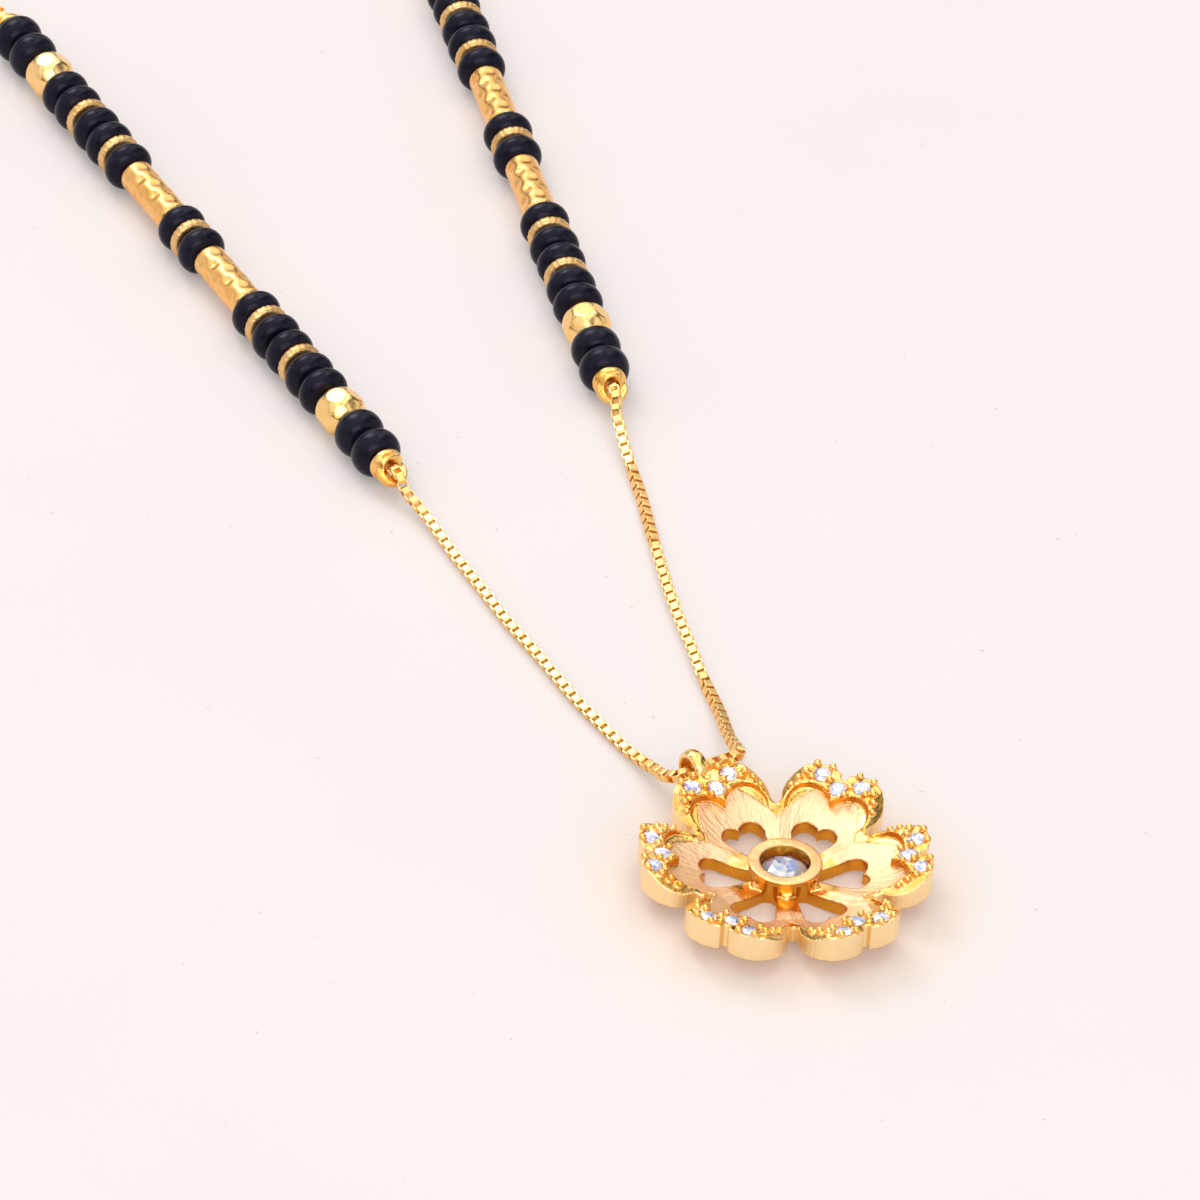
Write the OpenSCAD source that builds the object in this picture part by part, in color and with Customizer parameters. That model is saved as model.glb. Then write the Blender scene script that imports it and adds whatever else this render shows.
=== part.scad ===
// Mangalsutra: a flower pendant on a fine box chain, two strands of black
// beads with gold balls, tubes and discs, and a plain chain behind the neck.
// It lies flat on a surface, the pendant toward the viewer (-Y). Millimetres.

/* [Flower pendant] */
// Middle of the flower to the outer edge of a petal's lobe
pendant_radius = 8.8; // [7.8:0.05:10]
// Turn of the flower on the surface
pendant_turn = 6.4; // [0:0.1:12]
// Height of the petals' outer rim above the surface
rim_height = 3.0; // [2.6:0.05:3.6]
// Height of the underside below the petals' outer rim
wall_lift = 1.2; // [0.8:0.05:1.5]
// Radius of one rounded lobe of a petal
lobe_radius = 2.0; // [1.8:0.02:2.1]
// Slope of the stones' platform toward the middle
stone_tilt = 14; // [8:1:18]
// Width of the polished rim round a petal's satin heart
rim_width = 1.52; // [1.4:0.02:1.7]
// Depth of the satin heart below the rim
heart_depth = 0.52; // [0.4:0.02:0.75]
// Radius of one lobe of the satin heart
heart_lobe = 1.33; // [1.26:0.01:1.4]
// Radius of one lobe of the pierced heart
pierced_lobe = 0.74; // [0.6:0.02:0.76]
// Radius of the pierced heart's rounded tip under the ring
pierced_tip = 0.52; // [0.4:0.02:0.6]
// Height of the rim at the gaps between petals
gap_height = 1.75; // [1.6:0.05:1.9]
// Middle of the flower to the pierced heart's outer edge
pierced_reach = 5.05; // [4.8:0.05:5.2]
// Diameter of a shaft nick in the outer wall at each petal's notch
nick_diameter = 0.5; // [0.3:0.05:0.6]

/* [Stones] */
// Diameter of a petal's stone
stone_diameter = 1.1; // [0.9:0.02:1.14]
// Diameter of the middle stone
centre_stone_diameter = 2.9; // [2.4:0.05:3.1]
// Clearance round a stone in its seat
stone_gap = 0.03; // [0.02:0.01:0.05]
// Diameter of a ball prong
prong_diameter = 0.46; // [0.36:0.02:0.5]
// Diameter of the largest of the grain beads along the rim
grain_diameter = 0.46; // [0.36:0.02:0.5]

/* [Bezel] */
// Outer diameter of the flat ring round the middle stone
bezel_diameter = 4.5; // [4.2:0.05:4.8]
// Thickness of that ring
bezel_thickness = 0.32; // [0.25:0.01:0.45]
// Height of the ring's top above the surface
bezel_height = 2.1; // [1.9:0.05:2.4]
// Outer diameter of the pillar below it, hollowed by the pierced hearts
drum_diameter = 4.1; // [3.8:0.05:4.2]

/* [Bail] */
// Outer diameter of the ring that the chain runs through
bail_diameter = 2.4; // [2.2:0.05:2.6]
// Thickness of its wall
bail_wall = 0.42; // [0.36:0.01:0.46]
// Width of its band
bail_width = 0.9; // [0.7:0.05:1]

/* [Beads] */
// Diameter of a black bead
bead_diameter = 3.3; // [3.0:0.05:3.6]
// Length of a black bead along the strand
bead_length = 1.79; // [1.6:0.01:2]
// Length of the two larger black beads at each end of a strand
end_bead_length = 2.15; // [1.9:0.01:2.3]
// Rounding of a black bead's edges
bead_rounding = 0.75; // [0.4:0.05:0.8]
// Diameter of a gold ball
ball_diameter = 3.2; // [2.9:0.05:3.4]
// Length of a gold ball between its drilled ends
ball_length = 2.8; // [2.6:0.05:2.85]
// Diameter of a gold tube
tube_diameter = 2.25; // [2.0:0.05:2.5]
// Length of a gold tube
tube_length = 5.9; // [5:0.05:6.5]
// Diameter of a gold disc between beads
spacer_diameter = 2.95; // [2.6:0.05:3.2]
// Thickness of a gold disc
spacer_length = 0.8; // [0.5:0.01:0.9]
// Gap between neighbouring pieces on a strand
bead_gap = 0.1; // [0.1:0.01:0.14]
// Diameter of the hole through beads, balls, tubes and discs
bore_diameter = 0.8; // [0.7:0.02:0.9]
// Diameter of the wire that the strand is threaded on
thread_diameter = 0.5; // [0.4:0.02:0.55]

/* [Chain and ends] */
// Width of the box chain
chain_width = 0.68; // [0.6:0.01:0.72]
// Clearance round the chain where it passes an eye
chain_gap = 0.07; // [0.05:0.01:0.1]
// Outer diameter of an end piece's eye
eye_diameter = 2.02; // [1.95:0.01:2.1]
// Diameter of the hole in the eye
eye_hole = 1.02; // [1:0.01:1.08]
// Thickness of the eye
eye_thickness = 0.5; // [0.4:0.05:0.55]
// Diameter of the end piece's collar against the first bead
collar_diameter = 2.2; // [2:0.05:2.5]
// Length of the collar
collar_length = 0.45; // [0.4:0.05:0.6]
// Middle of the eye to the collar's far face
eye_reach = 0.98; // [0.96:0.01:1.1]
// Droop of the eye toward the surface
eye_tilt = 20; // [16:1:22]
// Length of the clasp
clasp_length = 9; // [8:0.1:11]
// Width of the clasp
clasp_width = 4.4; // [4.2:0.1:5]
// Thickness of the clasp
clasp_thickness = 1; // [0.8:0.05:1.2]
// Outer diameter of the ring in the clasp
ring_diameter = 4.2; // [4:0.1:4.6]
// Thickness of that ring's wire
ring_wire = 0.7; // [0.6:0.02:0.8]
// Lean of that ring from the surface
ring_lean = 45; // [42:1:50]

/* [Hidden] */
$fn = 48;
petals = 6;
cut = 0.02;                       // overshoot of cutting tools
gold = [0.93, 0.68, 0.28];
satin = [0.97, 0.82, 0.56];
onyx = [0.06, 0.05, 0.08];
clear = [0.88, 0.90, 0.97];

// Route of the front chain as chosen on the surface: left end to right end
FRONT_LEFT_POINTS = [
    [20.2, -55.6, 1.3], [20.9, -56.4, 0.95], [21.8, -57.6, 0.7],
    [24.1, -61.6, 0.36], [25.8, -64.6, 0.36], [27.6, -67.8, 0.36],
    [29.4, -70.6, 0.36], [31.8, -74.6, 0.36], [33.8, -77.5, 0.36],
    [35.6, -80, 0.5], [37.1, -82.1, 1], [37.8, -83.4, 1.6],
    [38.6, -84, 2.15]];
BAIL_POINT = [39.4, -83.6, 2.35];
FRONT_RIGHT_POINTS = [
    [41.4, -82.2, 2.35], [42.1, -81.5, 2.25], [42, -80.8, 2],
    [41.5, -79, 1.4], [40.7, -75.1, 0.6], [39.7, -71.9, 0.4],
    [38.9, -68.9, 0.36], [38, -65.9, 0.36], [37.2, -62.9, 0.36],
    [36.5, -59.8, 0.36], [35.8, -56.7, 0.36], [35.1, -53.3, 0.38],
    [34.4, -50.7, 0.5], [33.9, -48.8, 0.7], [33.4, -46.7, 1.1],
    [33.15, -45.8, 1.4]];
// Routes of the back chains, from a strand's far end to the clasp
BACK_LEFT_POINTS = [
    [-12, -1.5, 0.4], [-21, 10, 0.36], [-35, 27, 0.36],
    [-46.5, 43, 0.36], [-53.5, 60, 0.36], [-51.5, 76, 0.36],
    [-41, 89, 0.36], [-24, 97.4, 0.36], [-15, 98.5, 0.4]];
BACK_RIGHT_POINTS = [
    [16.2, 14.5, 0.4], [21, 34, 0.36], [24, 55, 0.36], [21, 74, 0.36],
    [12, 88, 0.36], [2.5, 95.6, 0.36], [-0.9, 97.3, 1],
    [-1.9, 97.9, 1.75]];
// Where the two strands' front eyes lie, and which way the strands run
LEFT_EYE = [19.35, -54.3];
RIGHT_EYE = [32.75, -43.55];
LEFT_TURN = 121.3;
RIGHT_TURN = 106.1;
// Middle of the clasp ring, and the way from it to the clasp
RING_POINT = [-4.6, 97.5];
RING_TURN = 176;

// One strand from the pendant's end: e end bead, b black bead, a ball,
// s disc, t tube
STRAND = "eeabbsbbsbtbsbtbsbbsbbaee";

function piece_length(c) =
    c == "e" ? end_bead_length :
    c == "b" ? bead_length : c == "a" ? ball_length :
    c == "s" ? spacer_length : tube_length;
// Middle of piece k along the strand, from the front eye's middle
function place(k, i = 0, at = eye_reach) =
    i == k ? at + bead_gap + piece_length(STRAND[k]) / 2 :
    place(k, i + 1, at + bead_gap + piece_length(STRAND[i]));
strand_length = place(len(STRAND) - 1)
    + piece_length(STRAND[len(STRAND) - 1]) / 2 + bead_gap + eye_reach;
function pick(c) = [for (k = [0 : len(STRAND) - 1]) if (STRAND[k] == c) k];

// The pendant hangs on its bail, so its middle follows from the bail's
lobe_turn = 10;
lobe_centre = pendant_radius - lobe_radius;
notch_radius = lobe_centre * cos(lobe_turn)
    + sqrt(pow(lobe_radius, 2) - pow(lobe_centre * sin(lobe_turn), 2));
bail_centre = notch_radius + bail_diameter / 2 + 0.15;
bail_lift = BAIL_POINT[2] + 0.15;
pendant_x = BAIL_POINT[0] - bail_centre * cos(120 + pendant_turn);
pendant_y = BAIL_POINT[1] - bail_centre * sin(120 + pendant_turn);

// Heights along the flower's radius
gap_radius = 0.67 * pendant_radius;
flank_turn = 1.6;                 // where a petal's side runs into its lobe
platform_radius = pendant_radius - 2.5;
stone_ring = pendant_radius - 0.78;
inner_stone_ring = pendant_radius - 1.5;
stone_turn = 9.44;
lug_wall = 0.1;                    // metal left between stone and bail's lug
function platform_z(r) = rim_height - (pendant_radius - r) * tan(stone_tilt);
function floor_z(r) = platform_z(platform_radius) - heart_depth
    - (platform_radius - r) * 0.36;
hub_radius = 2.6;
hub_top = 0.95;
niche_radius = 1.72;
rim_slope = 0.62;
petal_width = 2 * (lobe_centre * sin(lobe_turn) + lobe_radius) - 0.4;
tall = 2 * rim_height;
function rim_z(r, turn) = min(platform_z(r),
    gap_height + rim_slope * r * abs(sin(30 - abs(turn))));
centre_stone_z = bezel_height - 0.76;
heart_radius = pendant_radius - rim_width;
heart_turn = 12.2;
ridge_turn = 30.2;                 // neighbouring hearts just meet

module at_polar(r, turn, z = 0) {
    rotate([0, 0, turn]) translate([r, 0, z]) children();
}

module petal_shape() {
    for (s = [-1, 1]) rotate([0, 0, s * lobe_turn])
        translate([lobe_centre, 0]) circle(lobe_radius);
    side = lobe_turn + asin(lobe_radius / lobe_centre) - flank_turn;
    reach = sqrt(pow(lobe_centre, 2) - pow(lobe_radius, 2));
    polygon([[1, 0], gap_radius * [cos(30), -sin(30)],
        reach * [cos(side), -sin(side)],
        [lobe_centre, 0], reach * [cos(side), sin(side)],
        gap_radius * [cos(30), sin(30)]]);
}

module flower_shape() {
    for (k = [0 : petals - 1]) rotate(k * 60) petal_shape();
    rotate(30) circle(gap_radius + 0.02, $fn = 6);
}

module satin_heart_shape() {
    c = heart_radius - heart_lobe;
    for (s = [-1, 1]) rotate([0, 0, s * heart_turn])
        translate([c, 0]) circle(heart_lobe);
    side = heart_turn + asin(heart_lobe / c) - flank_turn;
    reach = sqrt(pow(c, 2) - pow(heart_lobe, 2));
    near = (gap_radius - 0.9) * [cos(ridge_turn), sin(ridge_turn)];
    inner = 2.3 * [cos(ridge_turn), sin(ridge_turn)];
    far = reach * [cos(side), sin(side)];
    polygon([[inner[0], -inner[1]], [near[0], -near[1]],
        [far[0], -far[1]], [c * cos(heart_turn), 0], far, near, inner]);
}

module pierced_heart_shape() {
    turn = 8.2;
    mid = (pierced_reach - pierced_lobe) * [cos(turn), sin(turn)];
    tip = [niche_radius + pierced_tip, 0];
    translate(tip) circle(pierced_tip);
    for (s = [-1, 1]) translate([mid[0], s * mid[1]])
        circle(pierced_lobe);
    way = mid - tip;
    a = atan2(way[1], way[0])
        + acos((pierced_tip - pierced_lobe) / norm(way));
    u = tip + pierced_tip * [cos(a), sin(a)];
    v = mid + pierced_lobe * [cos(a), sin(a)];
    polygon([[tip[0], 0], [u[0], -u[1]], [v[0], -v[1]],
        [mid[0], -mid[1]], mid, v, u]);
}

// Everything between the pendant's underside and its top, by radius
module shell() {
    rotate_extrude() polygon([
        [0, 0], [hub_radius, 0], [hub_radius + 2, 0.25],
        [gap_radius - 0.3, 0.5 * wall_lift],
        [pendant_radius, wall_lift], [pendant_radius + 0.2, wall_lift],
        [pendant_radius + 0.2, platform_z(pendant_radius + 0.2)],
        [platform_radius, platform_z(platform_radius)],
        [gap_radius, platform_z(platform_radius) - 0.55],
        [gap_radius - 1, platform_z(platform_radius) - 0.95],
        [hub_radius, hub_top + 0.2], [0, hub_top + 0.2]]);
}

module above_floor() {
    rotate_extrude() polygon([
        [1.9, hub_top], [hub_radius, hub_top],
        [4.6, floor_z(4.6)], [heart_radius + 0.1, floor_z(heart_radius)],
        [heart_radius + 0.1, rim_height + 1], [1.9, rim_height + 1]]);
}

// The middle of stone k of a petal: 0 and 2 at the lobes, 1 at the notch
module at_stone(petal, k) {
    r = k == 1 ? inner_stone_ring : stone_ring;
    at_polar(r, petal * 360 / petals + (k - 1) * stone_turn, platform_z(r))
        rotate([0, -stone_tilt, 0]) children();
}

// A straight wall round the girdle and a cone under it, both clear of
// the stone
module stone_seat(d) {
    translate([0, 0, -0.04 * d])
        cylinder(h = 0.8 * d, d = d + 2 * stone_gap);
    translate([0, 0, -0.46 * d])
        cylinder(h = 0.43 * d, d1 = 0.06 * d + 2 * stone_gap,
            d2 = d + 2 * stone_gap);
}

// Table and eight crown facets above the girdle, eight facets below it
module cut_stone(d) {
    union() {
        rotate([0, 0, 22.5])
            cylinder(h = 0.155 * d, d1 = d, d2 = 0.58 * d, $fn = 8);
        translate([0, 0, -0.03 * d])
            cylinder(h = 0.03 * d, d = d, $fn = 16);
        translate([0, 0, -0.43 * d]) rotate([0, 0, 22.5])
            cylinder(h = 0.4 * d, d1 = 0.06 * d, d2 = d, $fn = 8);
    }
}

module ball_at(r, turn, d, rise) {
    at_polar(r, turn, rim_z(r, turn) + rise * d) sphere(d = d, $fn = 20);
}

// Ball prongs round the three stones and grain beads down the rim
module petal_balls() {
    hold = stone_diameter / 2 + prong_diameter * 0.38;
    for (s = [-1, 1]) {
        for (a = [-118, -35, 50, 140]) {
            x = stone_ring * cos(stone_turn) + hold * cos(a);
            y = stone_ring * sin(stone_turn) + hold * sin(a);
            ball_at(norm([x, y]), s * atan2(y, x), prong_diameter, 0.34);
        }
        ball_at(inner_stone_ring - hold * cos(60),
            s * asin(hold * sin(60) / inner_stone_ring),
            prong_diameter * 0.9, 0.34);
        for (k = [0 : 2])
            ball_at(pendant_radius - 0.93 - 0.42 * k, s * (16.4 + 3 * k),
                grain_diameter * (1 - 0.1 * k), 0.3);
    }
}

// The flat ring round the middle stone
module bezel_ring() {
    translate([0, 0, bezel_height - bezel_thickness])
        cylinder(h = bezel_thickness, d = bezel_diameter);
}

module centre_bore() {
    d = centre_stone_diameter;
    translate([0, 0, centre_stone_z]) {
        translate([0, 0, -0.04 * d]) cylinder(h = d, d = d + 2 * stone_gap);
        translate([0, 0, -0.46 * d])
            cylinder(h = 0.43 * d, d1 = 0.06 * d + 2 * stone_gap,
                d2 = d + 2 * stone_gap);
    }
    translate([0, 0, -1]) cylinder(h = 2, r = 0.5);
}

// A V groove that lets the rim down toward the gap between two petals
module gap_slope() {
    w = petal_width / 2;
    start = 0.6 * gap_radius;
    translate([start, 0, 0]) rotate([90, 0, 90])
        linear_extrude(pendant_radius + 1 - start)
        polygon([[-w, gap_height + w * rim_slope], [0, gap_height],
            [w, gap_height + w * rim_slope], [w, tall], [-w, tall]]);
}

// The hanging ring, its band domed outside
module bail() {
    r = bail_diameter / 2;
    at_polar(bail_centre, 120, bail_lift) rotate([90, 0, 0])
        rotate_extrude() intersection() {
            translate([r - bail_wall, -bail_width / 2])
                square([bail_wall, bail_width]);
            translate([r - bail_width * 0.8, 0])
                circle(bail_width * 0.8);
        }
}

module bail_lug() {
    outer = bail_centre - bail_diameter / 2 + bail_wall * 0.6;
    inner = inner_stone_ring + stone_diameter / 2 + stone_gap + lug_wall;
    rotate([0, 0, 120])
        translate([inner, -bail_width / 2 + 0.05, bail_lift - 0.7])
        cube([outer - inner, bail_width - 0.1, 0.9]);
}

module pendant_frame() {
    color(satin) on_pendant() {
        difference() {
            union() {
                difference() {
                    intersection() {
                        translate([0, 0, -1]) linear_extrude(tall)
                            flower_shape();
                        shell();
                    }
                    intersection() {
                        linear_extrude(tall) for (k = [0 : petals - 1])
                            rotate(k * 60) satin_heart_shape();
                        above_floor();
                    }
                    for (k = [0 : petals - 1])
                        rotate([0, 0, 30 + k * 60]) gap_slope();
                    for (k = [0 : petals - 1])
                        at_polar(notch_radius, k * 60, -1)
                            cylinder(h = tall, d = nick_diameter);
                }
                translate([0, 0, 0.3])
                    cylinder(h = bezel_height - bezel_thickness - 0.25,
                        d = drum_diameter);
                for (k = [0 : petals - 1]) rotate([0, 0, k * 60])
                    petal_balls();
            }
            translate([0, 0, -1]) linear_extrude(tall)
                for (k = [0 : petals - 1]) rotate(k * 60)
                    pierced_heart_shape();
            centre_bore();
            for (p = [0 : petals - 1], k = [0 : 2])
                at_stone(p, k) stone_seat(stone_diameter);
        }
        difference() {
            bezel_ring();
            centre_bore();
        }
        bail();
        bail_lug();
    }
}

module on_pendant() {
    translate([pendant_x, pendant_y, 0]) rotate([0, 0, pendant_turn])
        children();
}

module centre_stone() {
    color(clear) on_pendant() translate([0, 0, centre_stone_z])
        cut_stone(centre_stone_diameter);
}

// Stone number n = 1 to 3 of petal p = 1 to 6, counted from the right petal
module petal_stone(p, n) {
    color(clear) on_pendant() at_stone(p - 1, n - 1)
        cut_stone(stone_diameter);
}

// A strand's own frame: its wire along X, its front eye's middle at 0
module on_strand(side) {
    eye = side == "left" ? LEFT_EYE : RIGHT_EYE;
    turn = side == "left" ? LEFT_TURN : RIGHT_TURN;
    translate([eye[0], eye[1], bead_diameter / 2]) rotate([0, 0, turn])
        children();
}

module along(x) {
    translate([x, 0, 0]) rotate([0, 90, 0]) children();
}

module black_bead(length) {
    difference() {
        rotate_extrude() {
            translate([0.1, -length / 2])
                square([bead_diameter / 2 - bead_rounding - 0.1, length]);
            translate([0.1, -length / 2 + bead_rounding])
                square([bead_diameter / 2 - 0.1,
                    length - 2 * bead_rounding]);
            for (s = [-1, 1])
                translate([bead_diameter / 2 - bead_rounding,
                    s * (length / 2 - bead_rounding)])
                    circle(bead_rounding);
        }
        cylinder(h = length + 1, d = bore_diameter, center = true);
    }
}

// A ball with seven broad cut faces round it and flat drilled ends
module gold_ball() {
    difference() {
        intersection() {
            sphere(d = ball_diameter);
            cylinder(h = ball_length, d = ball_diameter * 1.02,
                center = true, $fn = 7);
        }
        cylinder(h = ball_diameter + 1, d = bore_diameter, center = true);
    }
}

module gold_tube() {
    round_off = 0.35;
    difference() {
        rotate_extrude() {
            translate([0.1, -tube_length / 2])
                square([tube_diameter / 2 - round_off - 0.1, tube_length]);
            translate([0.1, -tube_length / 2 + round_off])
                square([tube_diameter / 2 - 0.1,
                    tube_length - 2 * round_off]);
            for (s = [-1, 1])
                translate([tube_diameter / 2 - round_off,
                    s * (tube_length / 2 - round_off)]) circle(round_off);
        }
        cylinder(h = tube_length + 1, d = bore_diameter, center = true);
    }
}

module spacer() {
    difference() {
        cylinder(h = spacer_length, d = spacer_diameter, center = true);
        cylinder(h = spacer_length + 1, d = bore_diameter, center = true);
    }
}

module strand_piece(side, kind, n) {
    color(gold) on_strand(side) along(place(pick(kind)[n - 1])) {
        if (kind == "a") gold_ball();
        if (kind == "t") gold_tube();
        if (kind == "s") spacer();
    }
}

module black_beads(side) {
    color(onyx) on_strand(side)
        for (c = ["b", "e"], k = pick(c))
            along(place(k)) black_bead(piece_length(c));
}

thread_bite = 0.3;
module thread(side) {
    color(gold) on_strand(side)
        translate([eye_reach - thread_bite, 0, 0]) rotate([0, 90, 0])
        cylinder(h = strand_length - 2 * (eye_reach - thread_bite),
            d = thread_diameter);
}

// An end piece: a collar against the bead, a cone that slopes down from it
// and a drooping eye for the chain
eye_root = eye_reach - collar_length;
eye_drop = sin(eye_tilt) * eye_root * 0.8;
cone_droop = 14;
cone_length = 0.75;
cone_end = 1.1;
module eye_piece() {
    difference() {
        union() {
            translate([eye_root, 0, 0]) rotate([0, 90, 0])
                cylinder(h = collar_length, d = collar_diameter);
            difference() {
                union() {
                    translate([eye_root + 0.1, 0, 0])
                        rotate([0, -90 - cone_droop, 0])
                        cylinder(h = cone_length,
                            d1 = collar_diameter - 0.1, d2 = cone_end);
                    translate([0, 0, -eye_drop]) rotate([0, -eye_tilt, 0])
                        linear_extrude(eye_thickness, center = true) {
                            circle(d = eye_diameter);
                            polygon([[0, -eye_diameter / 2],
                                [eye_root + 0.2, -collar_diameter * 0.4],
                                [eye_root + 0.2, collar_diameter * 0.4],
                                [0, eye_diameter / 2]]);
                        }
                }
                translate([0, 0, -eye_drop]) rotate([0, -eye_tilt, 0])
                    cylinder(h = 3, d = eye_hole, center = true);
            }
        }
        translate([eye_reach - thread_bite - bead_gap, 0, 0])
            rotate([0, 90, 0])
            cylinder(h = 3, d = thread_diameter + 2 * 0.06);
    }
}

module front_eye(side) {
    color(gold) on_strand(side) eye_piece();
}

module back_eye(side) {
    color(gold) on_strand(side) translate([strand_length, 0, 0])
        rotate([0, 0, 180]) eye_piece();
}

// A chain's end comes up through an eye and goes over the eye's tip: the
// middle of the eye, the way back along the piece, its droop, the distance
// to the middle of the tip's wire, and the radius of the bend round it
eye_wire = (eye_diameter - eye_hole) / 2;
eye_bend = norm([eye_wire, eye_thickness]) / 2 + chain_width / 2
    + chain_gap;
eye_tip = (eye_diameter + eye_hole) / 4;
eye_z = bead_diameter / 2 - eye_drop;
function hook(eye, turn, z = eye_z, tilt = eye_tilt, tip = eye_tip,
    bend = eye_bend, lean = 0) = [for (a = [-26 : 31 : 100])
    let (x = -tip * cos(tilt) + bend * cos(a + tilt),
        h = -tip * sin(tilt) + bend * sin(a + tilt), y = -h * sin(lean))
    [eye[0] + x * cos(turn) - y * sin(turn),
        eye[1] + x * sin(turn) + y * cos(turn), z + h * cos(lean)]];
function far_eye(eye, turn) = eye + strand_length * [cos(turn), sin(turn)];
function reverse(l) = [for (k = [len(l) - 1 : -1 : 0]) l[k]];

// A smooth curve through the points, cut where a stretch is over the step
function way(p, i) =
    i == 0 ? (p[1] - p[0]) / norm(p[1] - p[0]) :
    i == len(p) - 1 ? (p[i] - p[i - 1]) / norm(p[i] - p[i - 1]) :
    (p[i + 1] - p[i - 1])
        / (norm(p[i + 1] - p[i]) + norm(p[i] - p[i - 1]));
function curve_point(a, b, u, v, t) =
    (2 * t * t * t - 3 * t * t + 1) * a + (t * t * t - 2 * t * t + t) * u
    + (3 * t * t - 2 * t * t * t) * b + (t * t * t - t * t) * v;
function grounded(l) = [for (q = l)
    [q[0], q[1], max(q[2], chain_width / 2 + 0.02)]];
function smooth(p, step) = grounded(concat([for (i = [0 : len(p) - 2])
    let (l = norm(p[i + 1] - p[i]), n = max(1, round(l / step)))
    each [for (k = [0 : n - 1]) curve_point(p[i], p[i + 1],
        l * way(p, i), l * way(p, i + 1), k / n)]], [p[len(p) - 1]]));

// A tube of eight sides swept along the curve
sides = 8;
function unit(v) = v / norm(v);
function side_way(dir, last) = unit(last - (last * dir) * dir);
function side_ways(dirs, i = 0, last = [0, 0, 1]) =
    i == len(dirs) ? [] :
    let (s = side_way(dirs[i], last))
    concat([s], side_ways(dirs, i + 1, s));
module swept_tube(p, d, first = [0, 0, 1]) {
    dirs = [for (i = [0 : len(p) - 1]) unit(way(p, i))];
    ups = side_ways(dirs, 0, first);
    n = len(p);
    points = [for (i = [0 : n - 1], k = [0 : sides - 1])
        let (a = 360 * (k + 0.5) / sides, w = cross(dirs[i], ups[i]))
        p[i] + d / 2 * (cos(a) * ups[i] + sin(a) * w)];
    walls = [for (i = [0 : n - 2], k = [0 : sides - 1])
        let (a = i * sides + k, b = i * sides + (k + 1) % sides)
        each [[a, b, b + sides], [a, b + sides, a + sides]]];
    polyhedron(points, concat([[for (k = [0 : sides - 1]) k]],
        [[for (k = [sides - 1 : -1 : 0]) (n - 1) * sides + k]],
        [for (f = walls) [f[0], f[2], f[1]]]));
}

front_route = concat(
    hook(LEFT_EYE, LEFT_TURN), FRONT_LEFT_POINTS,
    [BAIL_POINT], FRONT_RIGHT_POINTS,
    reverse(hook(RIGHT_EYE, RIGHT_TURN)));
module front_chain() {
    color(gold) swept_tube(smooth(front_route, 2.6), chain_width,
        [cos(LEFT_TURN), sin(LEFT_TURN), 0]);
}

// The clasp leans on its ring and its tail lies on the surface
ring_radius = (ring_diameter - ring_wire) / 2;
ring_z = ring_radius * sin(ring_lean) + ring_wire / 2 + 0.02;
clasp_bar = 0.9;
tail_radius = 1.1;
tail_hole = 0.65;
clasp_radius = clasp_width / 2;
tail_x = clasp_length - clasp_bar / 2 - tail_radius;
clasp_tilt = asin((ring_z - clasp_thickness / 2 - 0.04)
    / (tail_x + tail_radius));
module at_ring() {
    translate([RING_POINT[0], RING_POINT[1], ring_z])
        rotate([0, 0, RING_TURN]) children();
}

module clasp_shape() {
    r = clasp_radius;
    neck = tail_x - 2.6;
    difference() {
        union() {
            translate([r - clasp_bar / 2, 0]) circle(r);
            translate([r - clasp_bar / 2, -r])
                square([neck - r + clasp_bar / 2, clasp_width]);
            polygon([[neck - 0.02, -r], [tail_x, -tail_radius],
                [tail_x, tail_radius], [neck - 0.02, r]]);
            translate([tail_x, 0]) circle(tail_radius);
        }
        translate([r - clasp_bar / 2, 0]) circle(r - clasp_bar);
        translate([r - clasp_bar / 2, -(r - clasp_bar)])
            square([neck - r, 2 * (r - clasp_bar)]);
        translate([tail_x, 0]) circle(tail_hole);
    }
}

module clasp() {
    color(gold) at_ring() rotate([0, clasp_tilt, 0])
        translate([0, 0, -clasp_thickness / 2])
        linear_extrude(clasp_thickness) clasp_shape();
}

module clasp_ring() {
    color(gold) at_ring() rotate([ring_lean, 0, 0]) rotate_extrude()
        translate([ring_radius, 0]) circle(d = ring_wire);
}

tail_point = RING_POINT
    + tail_x * cos(clasp_tilt) * [cos(RING_TURN), sin(RING_TURN)];
tail_wire = tail_radius - tail_hole;
tail_hook = hook(tail_point, RING_TURN + 180,
    ring_z - tail_x * sin(clasp_tilt), clasp_tilt,
    (tail_radius + tail_hole) / 2,
    norm([tail_wire, clasp_thickness]) / 2 + chain_width / 2 + chain_gap);
ring_hook = hook(RING_POINT, RING_TURN, ring_z, 0, ring_radius,
    ring_wire / 2 + chain_width / 2 + chain_gap, ring_lean);

module back_chain(side) {
    eye = side == "left" ? LEFT_EYE : RIGHT_EYE;
    turn = side == "left" ? LEFT_TURN : RIGHT_TURN;
    points = side == "left" ? BACK_LEFT_POINTS : BACK_RIGHT_POINTS;
    color(gold) swept_tube(smooth(concat(
        hook(far_eye(eye, turn), turn + 180), points,
        reverse(side == "left" ? tail_hook : ring_hook)), 9),
        chain_width, [cos(turn), sin(turn), 0]);
}

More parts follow.
